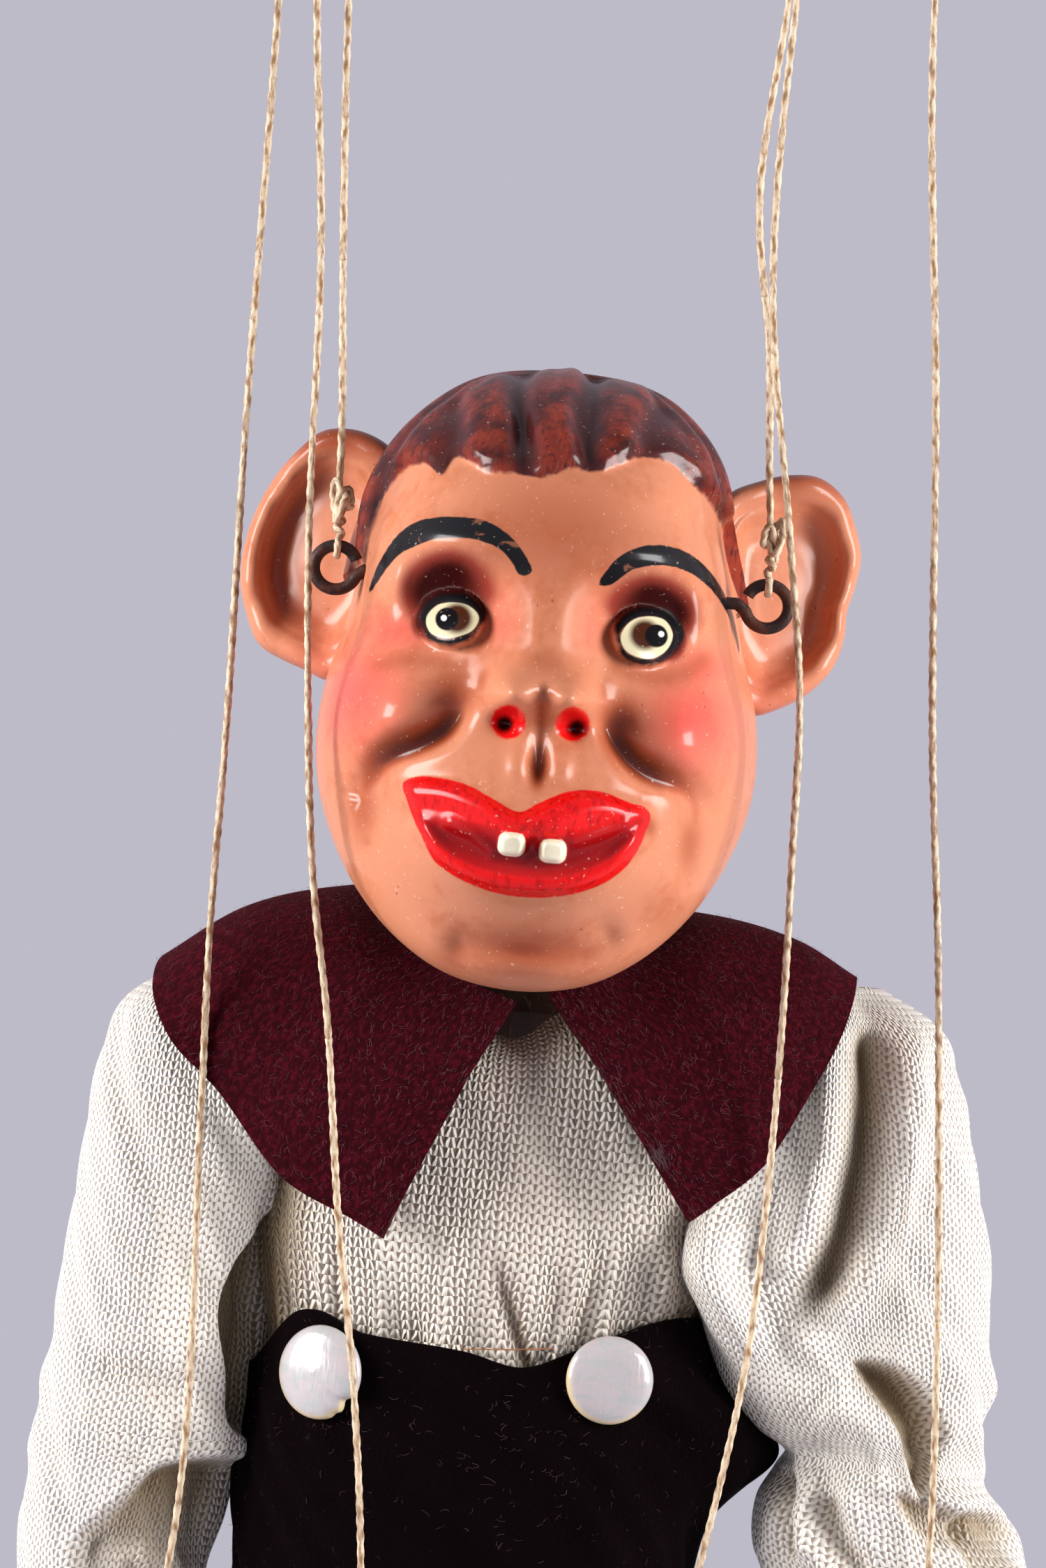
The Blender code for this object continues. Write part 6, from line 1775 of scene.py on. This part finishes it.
@dataclass
class Button:
    """A domed pearl button, thinnest at its rim."""

    side: Side
    middle: tuple[float, float, float]
    turn: float
    radius: float
    chips: tuple = ()

    def build(self, finishes: Finishes) -> None:
        """Makes the button: its profile from the front's middle over the rim to the back, spun and turned to face out.

        A chip is a depth, a bearing in degrees and a spread in radians where the rim is broken.
        """
        angle = turns(96)
        share = np.linspace(0.0, 1.0, 40)
        knots = (0, 0.3, 0.5, 0.6, 0.66, 0.72, 0.85, 1.0)
        out = curve_at(share, knots, (0.01, 0.62, 0.9, 0.985, 1.0, 0.975, 0.6, 0.01))[:, None]
        high = curve_at(share, knots, (1.9, 1.62, 1.0, 0.45, 0.0, -0.45, -0.7, -0.7))[:, None]
        reach = np.full(angle.shape, self.radius)
        for depth, bearing, spread in self.chips:
            reach = reach - depth * bell(angle - math.radians(bearing), spread)
        x, z = out * reach * np.cos(angle), out * reach * np.sin(angle)
        y = -high * np.ones_like(x)
        c, s = math.cos(math.radians(self.turn)), math.sin(math.radians(self.turn))
        p = np.stack([x * c - y * s, x * s + y * c, z], axis=2) + np.array(self.middle)
        made = Surface(p, filled=True)
        made.marks["rim"] = np.where(share[:, None] < 0.7, out, 1.0) * (0.86 + 0.14 * step_up(x + 2.0 * z, 3.0, -6.0))
        node = f"button_{self.side.word}"
        add_piece(f"pearl_{node}", made, finishes.pearl, node=node, body="torso")


@dataclass
class Hand:
    """A carved mitt hand on its tongue: rings down to the finger tips, grooved between the fingers, with a thumb."""

    side: Side

    def local(self) -> tuple[Array, Array]:
        """The palm with its fingers and the thumb, below the wrist, before the arm's lean."""
        drop = np.linspace(3.3, -36.6, 150)
        knots = (-36.6, -36.0, -33.0, -28.0, -21.0, -15.0, -9.0, -5.2, -4.7, 0.0, 2.5, 3.3)
        wide = curve_at(drop, knots, (0.1, 1.3, 2.7, 3.5, 4.0, 4.2, 3.9, 3.2, 1.15, 1.15, 1.15, 0.6))
        deep = curve_at(drop, knots, (0.3, 3.0, 5.8, 7.4, 8.2, 7.8, 5.2, 3.4, 3.0, 3.3, 2.2, 0.3))
        middle = (0.0, curve_at(drop, (-36.6, -28.0, -15.0, 3.3), (1.2, 0.8, 0.0, 0.0)))
        palm = oval_rings(drop, middle, (wide, deep), 120, 2.4)
        y, z = palm[..., 1], palm[..., 2]
        between = (-3.4, 0.4, 4.2)
        grooves = np.max([bell(y - at, 0.45) for at in between], axis=0) * step_up(z, -17.0, -22.0)
        palm[..., 0] *= 1.0 - 0.42 * grooves
        tips = np.max([bell(y - at, 0.6) for at in between], axis=0) * step_up(z, -31.0, -35.5)
        palm[..., 2] += 1.6 * tips
        path = trace(((0.0, -4.6, -9.0), (0.0, -7.0, -12.5), (0.0, -9.6, -17.0), (0.0, -11.0, -22.6)), 0.5)
        run = np.linspace(0.0, 1.0, len(path))
        thumb = tube(path, 2.35 * np.sqrt(np.clip(1.0 - (run / 1.001) ** 6, 0.02, 1.0)), 40, (1.0, 0.0, 0.0)).points
        return palm, thumb

    def build(self, finishes: Finishes) -> None:
        """Makes the hand and its thumb, leaned with the arm and set below the wrist pin."""
        c, s = math.cos(self.side.lean), math.sin(self.side.lean)
        wrist = np.array([self.side.value * SHOULDER_X - WRIST_DROP * s, BODY_Y, SHOULDER_LEVEL - WRIST_DROP * c])
        turn = np.array([[c, 0.0, s], [0.0, 1.0, 0.0], [-s, 0.0, c]])
        body = f"hand_{self.side.word}"
        for name, node, points in zip(("hand", "thumb"), (body, None), self.local()):
            made = Surface(points @ turn.T + wrist, filled=True)
            add_piece(f"carved_{name}_{self.side.word}", made, finishes.skin, node=node, body=body)


@dataclass
class Foot:
    """A painted shin on its knee tongue, and the carved shoe below it."""

    side: Side

    @property
    def x(self) -> float:
        """Where the leg hangs across."""
        return self.side.value * HIP_X

    def shin_shape(self) -> Surface:
        """Rings from the knee's tongue over the calf to the ankle's tongue."""
        knots = (-89.9, -88.6, -86.0, -77.6, -77.0, -60.0, -36.0, -20.0, -7.6, -6.9, 0.0, 2.4, 4.3, 5.3)
        drop = np.linspace(5.3, -89.9, 200)
        wide = np.interp(drop, knots, (2.0, 2.0, 2.0, 2.0, 4.2, 4.4, 5.5, 5.7, 4.6, 2.0, 2.0, 2.0, 2.0, 2.0))
        deep = curve_at(drop, knots, (0.8, 2.9, 4.0, 4.0, 4.5, 4.8, 6.2, 6.4, 4.8, 4.8, 5.3, 4.8, 3.1, 0.8))
        shift = curve_at(drop, (-89.9, -60.0, -36.0, -20.0, -7.0, 5.3), (0.0, 0.0, 0.8, 0.8, 0.0, 0.0))
        rings = oval_rings(KNEE_LEVEL + drop, (self.x, BODY_Y + shift), (wide, deep), 64, 2.2)
        return Surface(rings, filled=True)

    def shoe_shape(self) -> Surface:
        """Rings along the foot from heel to toe that reach down to level 0, with a welt and a groove behind the toe."""
        along = np.linspace(18.0, -29.0, 140)
        knots = (-29.0, -28.4, -27.0, -22.0, -13.0, -3.0, 9.0, 15.0, 17.2, 18.0)
        half = curve_at(along, knots, (0.6, 3.2, 6.2, 9.4, 9.9, 8.8, 8.5, 7.6, 4.8, 0.6))
        top = curve_at(along, knots, (4.0, 6.0, 8.4, 11.6, 13.6, 18.2, 22.0, 17.0, 13.0, 6.0))
        angle = turns(120)[None, :]
        c, s = np.cos(angle), np.sin(angle)
        x = half[:, None] * np.sign(c) * np.abs(c) ** 0.8
        z = np.clip(top[:, None] * 0.5 * (1.0 + np.sign(s) * np.abs(s) ** 0.85), 0.0, None)
        sole = step_up(z, 3.1, 2.7) * step_up(half, 0.5, 4.0)[:, None]
        x = x * (1.0 + 0.055 * sole)
        z = z - 0.5 * bell(along + 17.0, 0.8)[:, None] * step_up(z, 3.0, 5.0)
        p = np.stack([x + self.x, np.broadcast_to(along[:, None], x.shape), z], axis=2)
        made = Surface(p, filled=True)
        made.marks["sole"] = sole
        worn = 0.42 * step_up(along, -19.0, -27.0)[:, None] + 0.3 * bell(z - 3.4, 0.8)
        made.marks["wear"] = np.clip(worn, 0.0, 1.0)
        return made

    def throat_shape(self) -> Surface:
        """The shoe's rounded cuff about the ankle: rings that narrow to the top."""
        levels = np.linspace(33.8, 14.0, 60)
        knots = (14.0, 19.0, 26.0, 30.0, 32.6, 33.8)
        wide = curve_at(levels, knots, (7.4, 7.3, 6.9, 6.7, 6.4, 5.6))
        deep = curve_at(levels, knots, (9.2, 8.8, 8.0, 6.9, 4.5, 1.0))
        made = Surface(oval_rings(levels, (self.x, BODY_Y), (wide, deep), 80, 2.3), filled=True)
        made.marks["sole"] = np.zeros(made.points.shape[:2])
        made.marks["wear"] = np.full(made.points.shape[:2], 0.25)
        return made

    def build(self, finishes: Finishes) -> None:
        """Makes the shin, the shoe and its cuff."""
        word, black = self.side.word, "black_leather_paint"
        shin, shoe = f"shin_{word}", f"shoe_{word}"
        add_piece(f"painted_{shin}", self.shin_shape(), finishes.skin, node=shin, body=shin)
        add_piece(f"carved_{shoe}", self.shoe_shape(), finishes.shoe, node=shoe, body=shoe)
        add_piece(f"shoe_cuff_{word}", self.throat_shape(), finishes.shoe, body=shoe)


def paired(*words: str) -> tuple[str, ...]:
    """The names of paired nodes, each word at both sides."""
    return tuple(f"{word}_{side.word}" for word in words for side in Side)


def dress_nodes(finishes: Finishes) -> None:
    """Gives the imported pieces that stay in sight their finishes."""
    plan = {
        finishes.beech: ("control_grip_bar",),
        finishes.beech_cross: ("control_string_bar",),
        # The block and neck under the chin take the near-black wood as painted shade.
        finishes.shadow_wood: ("body_block", "neck_swivel"),
        finishes.beech_upright: paired(*LIMBS),
        finishes.steel: (
            "control_screw_front", "control_screw_back", "head_cross_bar", "hip_pin",
            *paired("shoulder_pin", "elbow_pin", "wrist_pin", "knee_pin", "ankle_pin"),
        ),
    }
    for material, nodes in plan.items():
        for node in nodes:
            for slot in bpy.data.objects[node].material_slots:
                slot.material = material


@dataclass(frozen=True)
class Studio:
    """Camera, backdrop and lamps."""

    middle: tuple[float, float] = (-1.35, 326.8)
    plane_y: float = -30.0
    frame_height: float = 202.3
    distance: float = 1200.0
    roll: float = 5.2
    sensor: float = 24.0
    floor_x: tuple[float, float] = (-6000.0, 6000.0)
    floor_y: tuple[float, float] = (-6000.0, 2300.0)
    floor_level: float = -30.0
    floor_roughness: float = 0.9
    floor_glow: float = 1.06
    glow_share: float = 0.9
    backdrop: Colour = tint(190, 187, 200)
    sky: Colour = (0.9, 0.92, 1.0, 1.0)
    sky_strength: float = 0.11
    lit_level: float = 320.0

    def camera(self) -> None:
        """A long lens straight in front, turned so that the puppet leans to the right."""
        data = bpy.data.cameras.new("camera")
        data.sensor_fit = "VERTICAL"
        data.sensor_height = self.sensor
        data.lens = self.sensor * self.distance / self.frame_height
        made = link("camera", data)
        c, s = math.cos(math.radians(self.roll)), math.sin(math.radians(self.roll))
        x, y, z = spot(self.middle[0], self.plane_y - self.distance, self.middle[1])
        made.matrix_world = Matrix(((c, -s, 0.0, x), (0.0, 0.0, -1.0, y), (s, c, 0.0, z), (0.0, 0.0, 0.0, 1.0)))
        bpy.context.scene.camera = made

    def stage(self) -> None:
        """A pale floor a little below the soles, which glows to the camera as the backdrop does and keeps a shadow."""
        x, y = np.meshgrid(self.floor_x, self.floor_y)
        corners = np.stack([x, y, np.full(x.shape, self.floor_level)], axis=2)
        floor = link("floor", Surface(corners, loop_columns=False).build("floor"))
        material = bpy.data.materials.new("pale_floor")
        material.use_nodes = True
        g = Graph(material.node_tree)
        shader = material.node_tree.nodes["Principled BSDF"]
        shader.inputs["Base Color"].default_value = self.backdrop
        shader.inputs["Roughness"].default_value = self.floor_roughness
        glow = g.node("ShaderNodeEmission", {"Color": self.backdrop, "Strength": self.floor_glow})
        share = g.math("MULTIPLY", self.looked_at(g), self.glow_share)
        both = g.node("ShaderNodeMixShader", {0: share, 1: shader.outputs[0], 2: glow.outputs[0]})
        g.feed(material.node_tree.nodes["Material Output"].inputs["Surface"], both.outputs[0])
        floor.data.materials.append(material)

    def looked_at(self, g: Graph) -> Socket:
        """One for rays from the camera, straight, mirrored or through glass, and nought for those that carry light."""
        path = g.node("ShaderNodeLightPath").outputs
        return g.greatest(*(path[f"Is {kind} Ray"] for kind in ("Camera", "Glossy", "Transmission")))

    def world(self) -> None:
        """A dim even light that looks like the pale backdrop."""
        made = bpy.data.worlds.new("even_light")
        made.use_nodes = True
        g = Graph(made.node_tree)
        dim = made.node_tree.nodes["Background"]
        dim.inputs["Color"].default_value = self.sky
        dim.inputs["Strength"].default_value = self.sky_strength
        pale = g.node("ShaderNodeBackground", {"Color": self.backdrop, "Strength": 1.0})
        both = g.node("ShaderNodeMixShader", {0: self.looked_at(g), 1: dim.outputs[0], 2: pale.outputs[0]})
        g.feed(made.node_tree.nodes["World Output"].inputs["Surface"], both.outputs[0])
        bpy.context.scene.world = made
        bpy.context.scene.view_settings.view_transform = "Standard"

    def lamps(self) -> None:
        """Two soft boxes at the sides and a weak one in front above, all turned to the puppet."""
        target = np.array(spot(0.0, 0.0, self.lit_level))
        plans = (
            ("lamp_left", (-950.0, -290.0, 520.0), (0.5, 0.6), 18.0),
            ("lamp_right", (950.0, -310.0, 520.0), (0.5, 0.6), 17.5),
            ("lamp_front", (0.0, -1300.0, 900.0), (0.8, 0.8), 0.5),
        )
        for name, at, size, power in plans:
            data = bpy.data.lights.new(name, "AREA")
            data.shape = "RECTANGLE"
            data.size, data.size_y = size
            data.energy = power
            place = np.array(spot(*at))
            back = unit(place - target)
            right = unit(np.cross(UP, back))
            turn = np.eye(4)
            turn[:3] = np.stack([right, np.cross(back, right), back, place], axis=1)
            link(name, data).matrix_world = Matrix(turn.tolist())


def make_sleeves() -> tuple[Sleeve, Sleeve]:
    """The two sleeves with the outlines and folds that each hangs in."""
    left = Sleeve(
        Side.LEFT,
        levels=(299.0, 295.0, 287.0, 275.0, 260.0, 246.0, 236.0, 228.0, 220.0, 206.0, 196.0),
        outer=(-43.0, -48.6, -52.0, -53.6, -54.8, -55.6, -56.6, -57.2, -57.6, -54.6, -48.8),
        inner=(-30.0, -28.6, -27.4, -26.2, -27.2, -27.4, -28.0, -30.6, -33.0, -33.6, -35.0),
        depth=(4.6, 7.6, 11.4, 13.0, 13.2, 13.4, 13.6, 13.4, 13.0, 10.4, 7.4),
        elbow=237.0,
        roll=0.3,
        valleys=(
            (((-50.0, 246.0), (-43.0, 244.0), (-36.0, 243.0)), 0.9, 2.2),
            (((-44.0, 219.0), (-38.0, 216.0), (-33.0, 215.0)), 1.8, 2.0),
        ),
        scoops=(
            (((-22.0, 277.0), (-26.8, 270.0), (-30.4, 264.0), (-33.1, 258.5), (-33.6, 252.9), (-32.4, 246.1),
              (-31.0, 239.0), (-26.0, 237.0), (-22.0, 256.0)), 5.0, 0.0),
            (((-50.5, 221.5), (-45.0, 228.0), (-39.5, 233.2), (-35.0, 234.4), (-29.0, 234.4), (-25.0, 229.0),
              (-27.0, 220.0), (-34.0, 214.0), (-42.0, 213.0), (-48.0, 215.0)), 6.0, 0.75),
        ),
    )
    right = Sleeve(
        Side.RIGHT,
        levels=(304.0, 300.0, 292.0, 280.0, 272.0, 266.0, 260.0, 254.0, 248.0, 244.4, 242.6, 240.0, 236.0, 228.0, 214.0,
                203.0, 195.0),
        outer=(47.0, 54.0, 58.4, 61.8, 63.4, 64.4, 65.0, 66.2, 65.8, 65.0, 65.4, 66.6, 69.2, 73.2, 73.6, 70.0, 66.0),
        inner=(34.0, 31.0, 29.0, 27.0, 24.6, 24.0, 26.8, 29.8, 32.4, 36.0, 39.6, 39.2, 37.6, 37.6, 46.4, 51.0, 54.0),
        depth=(4.2, 7.4, 12.4, 15.0, 15.2, 15.2, 15.2, 15.2, 15.0, 14.8, 14.8, 15.0, 15.2, 14.6, 12.4, 9.4, 7.4),
        elbow=241.0,
        tuck=11.0,
        valleys=(
            (((45.6, 301.0), (46.8, 291.5), (47.0, 285.6), (46.2, 278.0), (45.0, 271.4), (42.4, 264.6), (39.6, 261.0)),
             4.6, 2.3),
            (((44.0, 250.4), (49.6, 248.0), (52.8, 243.0), (53.6, 237.0)), -2.2, 3.4),
            (((40.6, 240.5), (40.9, 235.0), (42.0, 228.0)), 2.0, 1.2),
            (((45.0, 238.0), (47.5, 232.0), (52.0, 227.0)), 2.0, 1.6),
            (((44.0, 226.0), (50.0, 220.0), (58.0, 217.0)), 2.2, 1.8),
        ),
        scoops=(
            (((47.6, 254.8), (54.4, 254.6), (59.2, 251.0), (61.0, 244.3), (58.4, 238.0), (56.2, 242.0), (53.6, 247.6),
              (49.0, 252.6)), 5.5, 0.15),
            (((54.8, 238.6), (60.0, 237.8), (64.4, 236.0), (66.4, 233.0), (62.0, 231.4), (57.0, 234.0)), 3.2, 0.5),
            (((64.0, 237.0), (70.4, 235.0), (71.0, 229.0), (66.0, 228.4)), 3.2, 0.5),
        ),
    )
    return left, right


def build_puppet() -> None:
    """Builds every piece in order: strings and eyes first, then head, clothes, hands and feet."""
    finishes = Finishes()
    knots: dict[str, list] = {}
    for side in Side:
        sign, word = side.value, side.word
        wrist_x = sign * SHOULDER_X - WRIST_EYE_DROP * math.sin(side.lean)
        wrist = (wrist_x, BODY_Y - 7.0, SHOULDER_LEVEL - WRIST_EYE_DROP * math.cos(side.lean))
        temple, knee = (sign * 28.2, HEAD_Y - 12.0, 352.7), (sign * HIP_X, BODY_Y - 9.6, KNEE_EYE_LEVEL)
        back = (0.0, 1.0, 0.0)
        eyes = {
            "head": ScrewEye(f"temple_eye_{word}", temple, (-sign, 0.0, 0.0), 2.85, 0.8, 11.0, "head", 1.5),
            "hand": ScrewEye(f"wrist_eye_{word}", wrist, back, 1.9, 0.5, 4.2, f"forearm_{word}", 0.8),
            "leg": ScrewEye(f"knee_eye_{word}", knee, back, 1.9, 0.5, 5.2, f"thigh_{word}", 0.8),
        }
        knots.update({f"{kind}_string_{word}": eye.build(finishes) for kind, eye in eyes.items()})
    Twines().build(finishes, knots)
    pieces = (
        Head(), Ear(Side.LEFT, EAR_LEFT), Ear(Side.RIGHT, EAR_RIGHT), Collar(), Shirt(), *make_sleeves(), Trousers(),
        Button(Side.LEFT, (-20.8, -12.2, 247.7), -31.0, 6.2, ((0.9, 322.0, 0.16), (0.3, 300.0, 0.1))),
        Button(Side.RIGHT, (17.0, -14.3, 250.2), 10.0, 5.8),
        *(kind(side) for side in Side for kind in (Hand, Foot)),
    )
    for piece in pieces:
        piece.build(finishes)
    dress_nodes(finishes)


def main() -> None:
    """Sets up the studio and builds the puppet."""
    logging.basicConfig(level=logging.INFO, format="%(message)s")
    studio = Studio()
    studio.camera()
    studio.stage()
    studio.lamps()
    studio.world()
    build_puppet()


if __name__ == "__main__":
    main()
